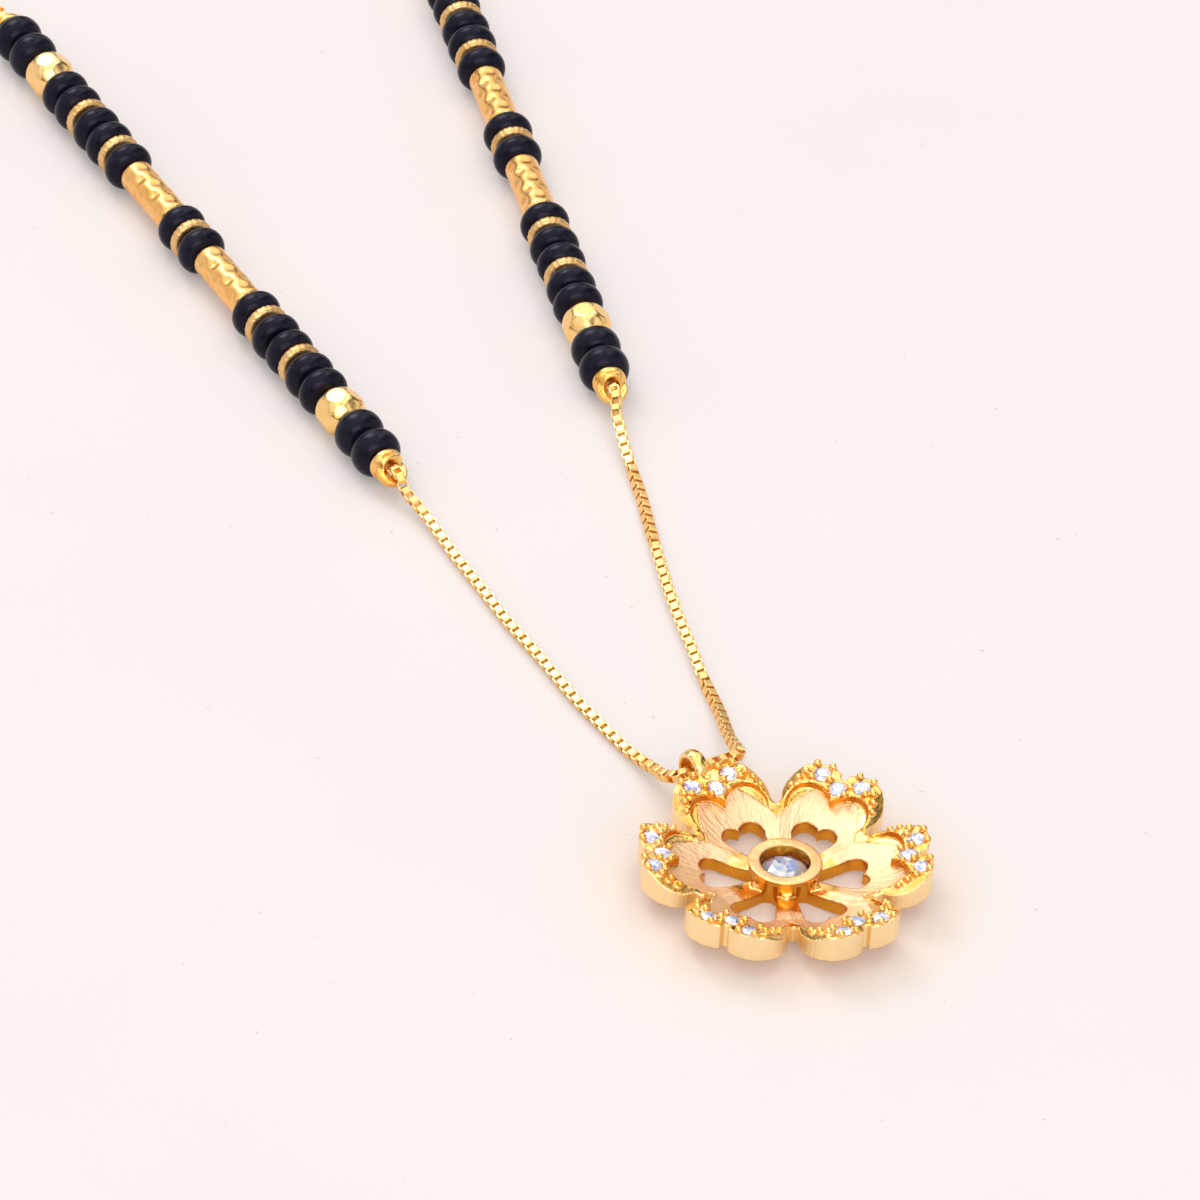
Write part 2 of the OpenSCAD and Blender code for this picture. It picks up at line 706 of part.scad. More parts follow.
pendant_frame();
centre_stone();
petal_stone(1, 1);  // petal_stone_1a
petal_stone(1, 2);  // petal_stone_1b
petal_stone(1, 3);  // petal_stone_1c
petal_stone(2, 1);  // petal_stone_2a
petal_stone(2, 2);  // petal_stone_2b
petal_stone(2, 3);  // petal_stone_2c
petal_stone(3, 1);  // petal_stone_3a
petal_stone(3, 2);  // petal_stone_3b
petal_stone(3, 3);  // petal_stone_3c
petal_stone(4, 1);  // petal_stone_4a
petal_stone(4, 2);  // petal_stone_4b
petal_stone(4, 3);  // petal_stone_4c
petal_stone(5, 1);  // petal_stone_5a
petal_stone(5, 2);  // petal_stone_5b
petal_stone(5, 3);  // petal_stone_5c
petal_stone(6, 1);  // petal_stone_6a
petal_stone(6, 2);  // petal_stone_6b
petal_stone(6, 3);  // petal_stone_6c
black_beads("left");  // left_black_beads
black_beads("right");  // right_black_beads
strand_piece("left", "a", 1);  // left_ball_1
strand_piece("left", "a", 2);  // left_ball_2
strand_piece("right", "a", 1);  // right_ball_1
strand_piece("right", "a", 2);  // right_ball_2
strand_piece("left", "t", 1);  // left_tube_1
strand_piece("left", "t", 2);  // left_tube_2
strand_piece("right", "t", 1);  // right_tube_1
strand_piece("right", "t", 2);  // right_tube_2
strand_piece("left", "s", 1);  // left_spacer_1
strand_piece("left", "s", 2);  // left_spacer_2
strand_piece("left", "s", 3);  // left_spacer_3
strand_piece("left", "s", 4);  // left_spacer_4
strand_piece("left", "s", 5);  // left_spacer_5
strand_piece("right", "s", 1);  // right_spacer_1
strand_piece("right", "s", 2);  // right_spacer_2
strand_piece("right", "s", 3);  // right_spacer_3
strand_piece("right", "s", 4);  // right_spacer_4
strand_piece("right", "s", 5);  // right_spacer_5
thread("left");  // left_thread
thread("right");  // right_thread
front_eye("left");  // left_front_eye
back_eye("left");  // left_back_eye
front_eye("right");  // right_front_eye
back_eye("right");  // right_back_eye
front_chain();
back_chain("left");  // left_back_chain
back_chain("right");  // right_back_chain
clasp();
clasp_ring();
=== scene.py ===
"""Dresses the mangalsutra's solids: flower pendant, stones, beads and chains."""
import math
import random

import bmesh
import bpy
from bpy.props import FloatProperty, FloatVectorProperty, IntProperty
from bpy.props import PointerProperty
from mathutils import Matrix, Vector


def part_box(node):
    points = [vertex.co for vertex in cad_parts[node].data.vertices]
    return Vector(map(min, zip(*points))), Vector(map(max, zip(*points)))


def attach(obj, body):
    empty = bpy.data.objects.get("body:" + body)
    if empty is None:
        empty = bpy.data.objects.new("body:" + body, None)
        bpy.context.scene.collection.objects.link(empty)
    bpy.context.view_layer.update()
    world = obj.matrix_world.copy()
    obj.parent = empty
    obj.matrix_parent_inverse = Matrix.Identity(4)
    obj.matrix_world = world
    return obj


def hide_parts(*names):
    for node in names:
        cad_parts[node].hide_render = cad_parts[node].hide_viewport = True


bl_info = {
    "name": "Mangalsutra",
    "version": (1, 0, 0),
    "blender": (4, 5, 0),
    "location": "3D View > Sidebar > Mangalsutra",
    "description": "Makes the pendant, stones, beads and chains of a mangalsutra",
    "category": "Add Mesh",
}

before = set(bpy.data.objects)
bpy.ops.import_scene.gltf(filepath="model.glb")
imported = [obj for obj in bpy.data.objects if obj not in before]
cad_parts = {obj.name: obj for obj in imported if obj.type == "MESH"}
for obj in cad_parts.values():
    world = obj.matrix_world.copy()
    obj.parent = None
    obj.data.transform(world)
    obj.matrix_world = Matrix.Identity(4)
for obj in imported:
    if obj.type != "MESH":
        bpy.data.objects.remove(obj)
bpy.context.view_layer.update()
MM = 0.001
PETALS = 6

# Sizes of the part, in millimetres, as the solids have them
RIM_HEIGHT = 3.0
PENDANT_RADIUS = 8.8
STONE_TILT = 14
STONE_RING = PENDANT_RADIUS - 0.78
INNER_STONE_RING = PENDANT_RADIUS - 1.5
STONE_TURN = 9.44
STONE_DIAMETER = 1.1
CENTRE_STONE_DIAMETER = 2.9
CENTRE_STONE_Z = 1.34
PLATFORM_RADIUS = PENDANT_RADIUS - 2.5
HEART_DEPTH = 0.52
HEART_RADIUS = PENDANT_RADIUS - 1.52
HEART_START = 2.3
HEART_SIDE = 30.2
HEART_TAPER = 8.4
LOBE_RADIUS = 1.33
LOBE_TURN = 12.2
FLOOR_SLOPE = 0.36
BEZEL_HEIGHT = 2.1
BEZEL_RADIUS = 2.25
BAIL_CENTRE = 9.66
BAIL_DIAMETER = 2.4
BAIL_WALL = 0.42
BAIL_WIDTH = 0.9
BAIL_LIFT = 2.5
PRONG_DIAMETER = 0.46
PRONG_TURNS = (-118, -35, 50, 140)
GRAIN_DIAMETER = 0.46
GRAIN_COUNT = 3
GAP_HEIGHT = 1.75
RIM_SLOPE = 0.62
PENDANT_TURN = 6.4
BEAD_DIAMETER = 3.3
BEAD_LENGTH = 1.79
END_BEAD_LENGTH = 2.15
BALL_DIAMETER = 3.2
BALL_LENGTH = 2.8
TUBE_DIAMETER = 2.25
TUBE_LENGTH = 5.9
SPACER_DIAMETER = 2.95
SPACER_LENGTH = 0.8
BEAD_GAP = 0.1
BORE = 0.8
TUBE_CORNER = 0.35
CHAIN_WIDTH = 0.68
CHAIN_GAP = 0.07
CHAIN_LIFT = 0.05
EYE_DIAMETER = 2.02
EYE_HOLE = 1.02
EYE_THICKNESS = 0.5
EYE_REACH = 0.98
EYE_ROOT = 0.53
EYE_TILT = 20
CLASP_THICKNESS = 1
RING_WIRE = 0.7
RING_RADIUS = 1.75
RING_LEAN = 45
RING_Z = RING_RADIUS * math.sin(math.radians(RING_LEAN)) + RING_WIRE / 2 + 0.02
TAIL_RADIUS = 1.1
TAIL_HOLE = 0.65
TAIL_X = 7.45
STRAND = "eeabbsbbsbtbsbtbsbbsbbaee"

# The camera and its picture, as the photograph has them
CAMERA_TARGET = Vector((33, -64, 0))
CAMERA_DISTANCE = 550.6
CAMERA_ELEVATION = 36.525
CAMERA_ROLL = -4.32
FOCAL_PIXELS = 8882
PICTURE_PIXELS = 1200
SENSOR = 36

# Routes of the chains, from eye to bail to eye and from strand to clasp
FRONT_LEFT_POINTS = [
    (20.2, -55.6, 1.3), (20.9, -56.4, 0.95), (21.8, -57.6, 0.7),
    (24.1, -61.6, 0.36), (25.8, -64.6, 0.36), (27.6, -67.8, 0.36),
    (29.4, -70.6, 0.36), (31.8, -74.6, 0.36), (33.8, -77.5, 0.36),
    (35.6, -80, 0.5), (37.1, -82.1, 1), (37.8, -83.4, 1.6),
    (38.6, -84, 2.15)]
BAIL_POINT = (39.4, -83.6, 2.35)
FRONT_RIGHT_POINTS = [
    (41.4, -82.2, 2.35), (42.1, -81.5, 2.25), (42, -80.8, 2),
    (41.5, -79, 1.4), (40.7, -75.1, 0.6), (39.7, -71.9, 0.4),
    (38.9, -68.9, 0.36), (38, -65.9, 0.36), (37.2, -62.9, 0.36),
    (36.5, -59.8, 0.36), (35.8, -56.7, 0.36), (35.1, -53.3, 0.38),
    (34.4, -50.7, 0.5), (33.9, -48.8, 0.7), (33.4, -46.7, 1.1),
    (33.15, -45.8, 1.4)]
BACK_LEFT_POINTS = [
    (-12, -1.5, 0.4), (-21, 10, 0.36), (-35, 27, 0.36),
    (-46.5, 43, 0.36), (-53.5, 60, 0.36), (-51.5, 76, 0.36),
    (-41, 89, 0.36), (-24, 97.4, 0.36), (-15, 98.5, 0.4)]
BACK_RIGHT_POINTS = [
    (16.2, 14.5, 0.4), (21, 34, 0.36), (24, 55, 0.36), (21, 74, 0.36),
    (12, 88, 0.36), (2.5, 95.6, 0.36), (-0.9, 97.3, 1),
    (-1.9, 97.9, 1.75)]
EYES = {"left": (19.35, -54.3, 121.3), "right": (32.75, -43.55, 106.1)}
HOOK_TURNS = (-26, 5, 36, 67, 98)
ROUTE_STEP = 0.5
RING_POINT = (-4.6, 97.5)
RING_TURN = 176


def sin(a):
    """Sine of an angle in degrees."""
    return math.sin(math.radians(a))


def cos(a):
    """Cosine of an angle in degrees."""
    return math.cos(math.radians(a))


def rotation(angle, axis):
    """A turn by degrees about an axis."""
    return Matrix.Rotation(math.radians(angle), 4, axis)


def shift(x, y=0, z=0):
    """A move without a turn."""
    return Matrix.Translation((x, y, z))


def planned_centre():
    """The pendant's middle as the part's own numbers give it."""
    a = 120 + PENDANT_TURN
    return Vector((BAIL_POINT[0] - BAIL_CENTRE * cos(a),
                   BAIL_POINT[1] - BAIL_CENTRE * sin(a), 0))


def found_centre():
    """The pendant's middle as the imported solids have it."""
    lo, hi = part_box("centre_stone")
    return Vector(((lo[0] + hi[0]) / 2 / MM, (lo[1] + hi[1]) / 2 / MM, 0))


CENTRE = found_centre()
SHIFT = CENTRE - planned_centre()


def piece_length(kind):
    """Length along the strand of one letter of STRAND."""
    return {"b": BEAD_LENGTH, "e": END_BEAD_LENGTH, "a": BALL_LENGTH,
            "s": SPACER_LENGTH, "t": TUBE_LENGTH}[kind]


def places(kind):
    """Middles of the strand's pieces of one kind, from the front eye."""
    at = EYE_REACH
    found = []
    for letter in STRAND:
        at += BEAD_GAP + piece_length(letter) / 2
        if letter == kind:
            found.append(at)
        at += piece_length(letter) / 2
    return found


STRAND_LENGTH = 2 * EYE_REACH + BEAD_GAP + sum(
    piece_length(letter) + BEAD_GAP for letter in STRAND)


def strand_matrix(side):
    """From a strand's own frame, its wire along X, to the part's frame."""
    x, y, turn = EYES[side]
    place = Matrix.Translation(Vector((x, y, BEAD_DIAMETER / 2)) + SHIFT)
    return place @ rotation(turn, "Z")


def pendant_matrix():
    """From the pendant's own frame to the part's frame."""
    return Matrix.Translation(CENTRE) @ rotation(PENDANT_TURN, "Z")


def platform_z(r):
    """Height of the stones' platform at radius r."""
    return RIM_HEIGHT - (PENDANT_RADIUS - r) * math.tan(
        math.radians(STONE_TILT))


def floor_z(r):
    """Height of the satin floor at radius r."""
    return (platform_z(PLATFORM_RADIUS) - HEART_DEPTH
            - (PLATFORM_RADIUS - r) * FLOOR_SLOPE)


# The settings that a user may change

class MangalsutraSizes(bpy.types.PropertyGroup):
    """Sizes of the details that the solids leave plain."""

    link_pitch: FloatProperty(
        name="Link pitch", description="Distance from one chain link to the next",
        default=0.45 * MM, min=0.4 * MM, max=0.46 * MM, unit="LENGTH")
    link_band: FloatProperty(
        name="Link band", description="Width of the strip a link is bent from",
        default=0.5 * MM, min=0.3 * MM, max=0.52 * MM, unit="LENGTH")
    link_wall: FloatProperty(
        name="Link wall", description="Thickness of that strip",
        default=0.085 * MM, min=0.08 * MM, max=0.12 * MM, unit="LENGTH")
    petal_dish: FloatProperty(
        name="Petal dish", description="Depth of a petal's hollow in its middle",
        default=0.16 * MM, min=0, max=0.3 * MM, unit="LENGTH")
    dimple_depth: FloatProperty(
        name="Dimple depth", description="Depth of the dimples on the gold tubes",
        default=0.085 * MM, min=0, max=0.15 * MM, unit="LENGTH")
    bead_sides: IntProperty(
        name="Bead sides", description="Faces round a black bead",
        default=40, min=16, max=64)
    voxel: FloatProperty(
        name="Casting grain", description="Size of the cells of the cast pieces",
        default=0.085 * MM, min=0.06 * MM, max=0.15 * MM, unit="LENGTH")
    seed: IntProperty(
        name="Seed", description="Choice of the small differences between beads",
        default=4, min=0, max=999)


class MangalsutraColours(bpy.types.PropertyGroup):
    """Colours of the metal, the glass, the stones and the paper."""

    gold: FloatVectorProperty(
        name="Gold", description="Polished gold", subtype="COLOR",
        default=(1.0, 0.63, 0.22), min=0, max=1)
    deep_gold: FloatVectorProperty(
        name="Deep gold", description="Gold in its darker places",
        subtype="COLOR", default=(0.94, 0.47, 0.09), min=0, max=1)
    satin: FloatVectorProperty(
        name="Satin gold", description="Brushed floors of the petals",
        subtype="COLOR", default=(0.98, 0.655, 0.38), min=0, max=1)
    glass: FloatVectorProperty(
        name="Black glass", description="Black beads", subtype="COLOR",
        default=(0.004, 0.0035, 0.007), min=0, max=1)
    stone: FloatVectorProperty(
        name="Stones", description="Clear cut stones", subtype="COLOR",
        default=(0.96, 0.97, 1.0), min=0, max=1)
    paper: FloatVectorProperty(
        name="Paper", description="The pale paper below", subtype="COLOR",
        default=(0.55, 0.515, 0.505), min=0, max=1)


def sizes():
    return bpy.context.scene.mangalsutra_sizes


def colours():
    return bpy.context.scene.mangalsutra_colours


# Materials

class Nodes:
    """Short ways to add and join the nodes of one tree."""

    def __init__(self, tree, shader=None):
        self.tree = tree
        self.shader = tree.nodes[shader] if shader else None

    def put(self, value, socket):
        """Joins an output to the socket, or sets the socket's own value."""
        if isinstance(value, bpy.types.NodeSocket):
            self.tree.links.new(value, socket)
        else:
            socket.default_value = value

    def out(self, output, kind, inputs, **settings):
        """Adds a node with its settings and inputs; returns one output."""
        node = self.tree.nodes.new(kind)
        for key, value in settings.items():
            setattr(node, key, value)
        for key, value in inputs.items():
            self.put(value, node.inputs[key])
        return node.outputs[output]

    def feed(self, **values):
        """Joins or sets the shader's own sockets."""
        for key, value in values.items():
            self.put(value, self.shader.inputs[key.replace("_", " ")])

    def object_place(self):
        return self.out("Object", "ShaderNodeTexCoord", {})

    def coordinates(self, scale=(1, 1, 1)):
        """Object coordinates in units of a millimetre, times scale."""
        return self.out("Vector", "ShaderNodeMapping", {
            "Vector": self.object_place(), "Scale": [s / MM for s in scale]})

    def noise(self, vector, scale, detail=2.0, roughness=0.5):
        return self.out("Fac", "ShaderNodeTexNoise", {
            "Vector": vector, "Scale": scale, "Detail": detail,
            "Roughness": roughness})

    def ramp(self, factor, stops):
        """Colours between positions 0 and 1; stops is [(place, colour)]."""
        out = self.out("Color", "ShaderNodeValToRGB", {"Fac": factor})
        band = out.node.color_ramp
        while len(band.elements) > 1:
            band.elements.remove(band.elements[-1])
        for k, (place, colour) in enumerate(stops):
            stop = band.elements[0] if k == 0 else band.elements.new(place)
            stop.position = place
            stop.color = (*colour, 1)
        return out

    def spread(self, factor, low, high, start=0.0, end=1.0):
        """A number from low to high as the factor goes from start to end."""
        return self.out("Result", "ShaderNodeMapRange", {
            "Value": factor, "From Min": start, "From Max": end,
            "To Min": low, "To Max": high})

    def bump(self, height, distance, strength=1.0, under=None):
        """Relief of the given depth in millimetres, over another relief."""
        inputs = {"Height": height, "Distance": distance * MM,
                  "Strength": strength}
        if under is not None:
            inputs["Normal"] = under
        return self.out("Normal", "ShaderNodeBump", inputs)

    def attribute(self, name, output="Fac"):
        return self.out(output, "ShaderNodeAttribute", {}, attribute_name=name)

    def mix_number(self, factor, a, b):
        return self.out(0, "ShaderNodeMix", {0: factor, 2: a, 3: b},
                        data_type="FLOAT")

    def mix_colour(self, factor, a, b, blend="MIX"):
        return self.out(2, "ShaderNodeMix", {0: factor, 6: a, 7: b},
                        data_type="RGBA", blend_type=blend)

    def maths(self, operation, a, b):
        return self.out(0, "ShaderNodeMath", {0: a, 1: b},
                        operation=operation)


def new_material(name):
    """A new material and the ways to its nodes."""
    material = bpy.data.materials.new(name)
    material.use_nodes = True
    return material, Nodes(material.node_tree, "Principled BSDF")


def gold_material(name, low, high, rough, grain=0.012):
    """Gold plate: two tones in soft patches, fine wavy cast surface."""
    material, m = new_material(name)
    where = m.coordinates()
    patches = m.noise(where, 0.55, 3)
    wear = m.noise(where, 6.0, 4, 0.6)
    m.feed(Metallic=1.0, Base_Color=m.ramp(patches, [(0.325, low), (0.62, high)]),
           Roughness=m.spread(wear, rough * 0.7, rough * 1.5, 0.3, 0.7),
           Normal=m.bump(m.noise(where, 2.6, 3), grain, 0.6))
    return material


def pendant_material():
    """Gold of the flower: polished rims, brushed floors, streaked walls; outer
    walls painted paler, inner walls in painted shade.
    """
    c = colours()
    material, m = new_material("pendant_gold")
    where = m.coordinates()
    satin = m.attribute("satin")
    wall = m.attribute("wall")
    bright = m.ramp(m.noise(where, 0.6, 2), [(0.35, c.deep_gold), (0.6, c.gold)])
    pale = m.ramp(m.noise(where, 0.8, 3),
                  [(0.3, [0.92 * v for v in c.satin]), (0.65, c.satin)])
    # Painted light: the outer walls are painted a paler, brighter gold that
    # stands in for the lit paper they reflect.
    bright = m.mix_colour(wall, bright, (1.0, 0.77, 0.43, 1))
    # Painted shade: the upright walls inside the piercings and behind the rims
    # are painted a dark deep orange.
    bright = m.mix_colour(m.attribute("deep"), bright,
                          (0.74, 0.33, 0.035, 1))
    polish = m.mix_number(
        wall, m.spread(m.noise(where, 5, 3), 0.14, 0.27, 0.3, 0.7), 0.36)
    dull = m.spread(m.noise(where, 9, 3), 0.36, 0.5, 0.3, 0.7)
    along = m.out("Vector", "ShaderNodeMapping", {
        "Vector": m.attribute("brush", "Vector"), "Scale": (2.6, 0.55, 1)})
    brushed = m.noise(along, 1.6, 4, 0.65)
    streaks = m.noise(m.coordinates((5, 5, 0.25)), 1.0, 3)
    first = m.bump(m.noise(where, 3.2, 4), 0.016, 0.7)
    second = m.bump(m.maths("MULTIPLY", brushed, satin), 0.12, 1.0, first)
    third = m.bump(m.maths("MULTIPLY", streaks, wall), 0.05, 0.8, second)
    m.feed(Metallic=1.0, Base_Color=m.mix_colour(satin, bright, pale),
           Roughness=m.mix_number(satin, polish, dull), Normal=third)
    return material


def glass_material():
    """Black glass: deep colour, soft gloss, faint wavy surface."""
    c = colours()
    material, m = new_material("black_bead_glass")
    where = m.coordinates()
    tone = m.ramp(m.noise(where, 0.7, 2), [
        (0.3, c.glass), (0.75, [2.2 * v for v in c.glass])])
    m.feed(Specular_Tint=(0.74, 0.7, 1.0, 1), IOR=1.28, Base_Color=tone,
           Roughness=m.spread(m.noise(where, 3, 3), 0.22, 0.3, 0.3, 0.7),
           Normal=m.bump(m.noise(where, 1.1, 2), 0.012, 0.5))
    return material


def stone_material():
    """Cut stones: each facet painted its own reflection tone from white to blue
    and lilac.
    """
    material, m = new_material("cut_stone")
    m.feed(Base_Color=m.attribute("facet", "Color"), IOR=1.65, Metallic=0.4,
           Roughness=0.08, Coat_Weight=0.3, Coat_Roughness=0.02)
    return material


def paper_material():
    """Smooth pale paper with a fine tooth and a few faint specks, a painted warm
    glow round the pendant, and a faint painted glow of its own.
    """
    c = colours()
    material, m = new_material("paper")
    where = m.coordinates()
    plain = tuple(c.paper)
    specks = m.ramp(m.noise(where, 1.7, 1, 0.3), [
        (0.0, plain), (0.79, plain), (0.84, [0.72 * v for v in plain])])
    tone = m.ramp(m.noise(where, 0.03, 3), [
        (0.3, plain), (0.75, [0.965 * v for v in plain])])
    # Painted light: a warm glow of light thrown off the gold, with some painted
    # shade, is painted on the paper round the pendant.
    painted_glow_size = 13 * MM
    near = m.out("Vector", "ShaderNodeMapping", {
        "Vector": m.object_place(), "Location": CENTRE * MM,
        "Scale": (painted_glow_size, painted_glow_size, painted_glow_size)}, vector_type="TEXTURE")
    painted_glow = m.out("Fac", "ShaderNodeTexGradient", {"Vector": near},
                 gradient_type="SPHERICAL")
    tone_with_painted_glow = m.mix_colour(m.spread(painted_glow, 0, 0.6, 0, 0.4),
                        m.mix_colour(1.0, specks, tone, "DARKEN"),
                        (0.6, 0.44, 0.31, 1))
    # The paper's faint emission is a painted glow that lightens the shadows on
    # it.
    m.feed(Base_Color=tone_with_painted_glow, Roughness=0.85, Specular_IOR_Level=0.25,
           Emission_Color=(1.0, 0.94, 0.92, 1), Emission_Strength=0.21,
           Normal=m.bump(m.noise(where, 0.9, 5, 0.7), 0.06, 0.35))
    return material


# Meshes

def add_object(name, data):
    """A new object of the scene around a mesh, light or camera."""
    piece = bpy.data.objects.new(name, data)
    bpy.context.scene.collection.objects.link(piece)
    return piece


def finish(name, vertices, faces, material, nodes, smooth=True):
    """Makes one piece from points in millimetres, and rides it."""
    mesh = bpy.data.meshes.new(name)
    mesh.from_pydata([tuple(Vector(v) * MM) for v in vertices], [], faces)
    mesh.validate()
    mesh.materials.append(material)
    if smooth:
        mesh.shade_smooth()
    piece = add_object(name, mesh)
    settle(piece, nodes)
    return piece


def settle(piece, nodes):
    """The piece stands for its solids and rides with the part."""
    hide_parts(*nodes)
    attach(piece, "root")


def finish_cast(name, mesh, material, node):
    """Makes one piece from a recast mesh in millimetres, and rides it."""
    mesh.transform(Matrix.Scale(MM, 4))
    mesh.materials.clear()
    mesh.materials.append(material)
    mesh.shade_smooth()
    mesh.name = name
    settle(add_object(name, mesh), [node])


def lathe(profile, sides, matrix, vertices, faces, wobble=None):
    """Turns (x, radius) pairs round X into a closed ring of faces."""
    start = len(vertices)
    n = len(profile)
    for k in range(sides):
        a = 2 * math.pi * k / sides
        for x, r in profile:
            if wobble is not None:
                r = wobble(x, r, a)
            vertices.append(matrix @ Vector((x, r * math.cos(a),
                                             r * math.sin(a))))
    for k in range(sides):
        b = (k + 1) % sides
        for i in range(n):
            j = (i + 1) % n
            faces.append((start + k * n + i, start + b * n + i,
                          start + b * n + j, start + k * n + j))


def rounded_profile(half, outer, inner, power, count):
    """A closed outline of a drilled round bead: (x, radius) pairs."""
    outline = []
    depth = outer - inner
    for k in range(count + 1):
        a = math.pi * k / count
        c = math.cos(a)
        s = math.sin(a)
        x = half * math.copysign(abs(c) ** (2 / power), c)
        r = inner + depth * abs(s) ** (2 / power)
        outline.append((x, r))
    steps = 3
    for k in range(1, steps):
        outline.append((-half + 2 * half * k / steps, inner))
    return outline


# The flower pendant

def merged_copy(node):
    """A copy of a solid's mesh in millimetres, its points merged."""
    work = bmesh.new()
    work.from_mesh(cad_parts[node].data)
    bmesh.ops.scale(work, vec=(1 / MM,) * 3, verts=work.verts)
    bmesh.ops.remove_doubles(work, verts=work.verts, dist=1e-5)
    mesh = bpy.data.meshes.new(node + "_copy")
    work.to_mesh(mesh)
    work.free()
    return mesh


def recast(node, voxel, smoothing, factor):
    """The solid's mesh as an even, softly rounded skin, in millimetres."""
    mesh = merged_copy(node)
    helper = add_object("recast", mesh)
    remesh = helper.modifiers.new("Remesh", "REMESH")
    remesh.mode = "VOXEL"
    remesh.voxel_size = voxel
    soften = helper.modifiers.new("Smooth", "SMOOTH")
    soften.factor = factor
    soften.iterations = smoothing
    bpy.context.view_layer.update()
    depsgraph = bpy.context.evaluated_depsgraph_get()
    result = bpy.data.meshes.new_from_object(helper.evaluated_get(depsgraph))
    bpy.data.objects.remove(helper)
    if not result.vertices:
        raise RuntimeError("the copy of " + node + " came out empty")
    return result


def petal_place(point):
    """Radius and turn from the nearest petal's middle of a pendant point."""
    r = math.hypot(point.x, point.y)
    turn = math.degrees(math.atan2(point.y, point.x))
    return r, (turn + 30) % 60 - 30


def in_heart(r, turn):
    """Whether a place lies over a petal's satin heart."""
    t = abs(turn)
    if r < HEART_START or t > HEART_SIDE - max(0.0, r - 5) * HEART_TAPER:
        return False
    c = HEART_RADIUS - LOBE_RADIUS
    x = r * cos(t) - c * cos(LOBE_TURN)
    y = r * sin(t) - c * sin(LOBE_TURN)
    return r <= c * 0.985 or math.hypot(x, y) < LOBE_RADIUS + 0.03


def smooth_step(v):
    v = min(1.0, max(0.0, v))
    return v * v * (3 - 2 * v)


def dish(r, turn, depth):
    """How far a petal's floor sinks below its plain cone."""
    t = abs(turn) / 30
    across = 1 - 1.55 * t * t
    start, start_width, end, end_width = 2.4, 1.2, 7.6, 1.3
    return depth * across * (smooth_step((r - start) / start_width)
                             * smooth_step((end - r) / end_width))


def rim_z(r, turn):
    """Height of the rim, let down toward the gaps between petals."""
    return min(platform_z(r), GAP_HEIGHT
               + RIM_SLOPE * r * abs(sin(30 - abs(turn))))


def petal_balls():
    """Places and sizes of one petal's prongs and grain beads."""
    hold = STONE_DIAMETER / 2 + PRONG_DIAMETER * 0.38
    prong_rise, grain_rise = 0.34, 0.3
    grain_start, grain_step, grain_shrink = 0.93, 0.42, 0.1
    grain_turn, grain_turn_step = 16.4, 3
    balls = []

    def add(r, turn, d, rise):
        balls.append((r, turn, rim_z(r, turn) + rise * d, d))

    for s in (-1, 1):
        for a in PRONG_TURNS:
            x = STONE_RING * cos(STONE_TURN) + hold * cos(a)
            y = STONE_RING * sin(STONE_TURN) + hold * sin(a)
            turn = s * math.degrees(math.atan2(y, x))
            add(math.hypot(x, y), turn, PRONG_DIAMETER, prong_rise)
        side = math.degrees(math.asin(hold * sin(60) / INNER_STONE_RING))
        add(INNER_STONE_RING - hold * cos(60), s * side,
            PRONG_DIAMETER * 0.9, prong_rise)
        for k in range(GRAIN_COUNT):
            add(PENDANT_RADIUS - grain_start - grain_step * k,
                s * (grain_turn + grain_turn_step * k),
                GRAIN_DIAMETER * (1 - grain_shrink * k), grain_rise)
    return balls


def add_balls(mesh):
    """Joins smooth balls and a smooth bail ring over the cast ones."""
    work = bmesh.new()
    work.from_mesh(mesh)
    skin = 0.012
    for petal in range(PETALS):
        for r, turn, z, d in petal_balls():
            a = petal * 60 + turn
            bmesh.ops.create_icosphere(
                work, subdivisions=3, radius=d / 2 + skin,
                matrix=shift(r * cos(a), r * sin(a), z))
    vertices, faces = [], []
    across = (rotation(120, "Z") @ shift(BAIL_CENTRE, 0, BAIL_LIFT)
              @ rotation(90, "Z"))
    outline = rounded_profile(BAIL_WIDTH / 2, BAIL_DIAMETER / 2,
                              BAIL_DIAMETER / 2 - BAIL_WALL, 2.3, 18)
    lathe(outline, 72, across, vertices, faces)
    points = [work.verts.new(v) for v in vertices]
    for face in faces:
        work.faces.new([points[k] for k in face])
    work.normal_update()
    work.to_mesh(mesh)
    work.free()


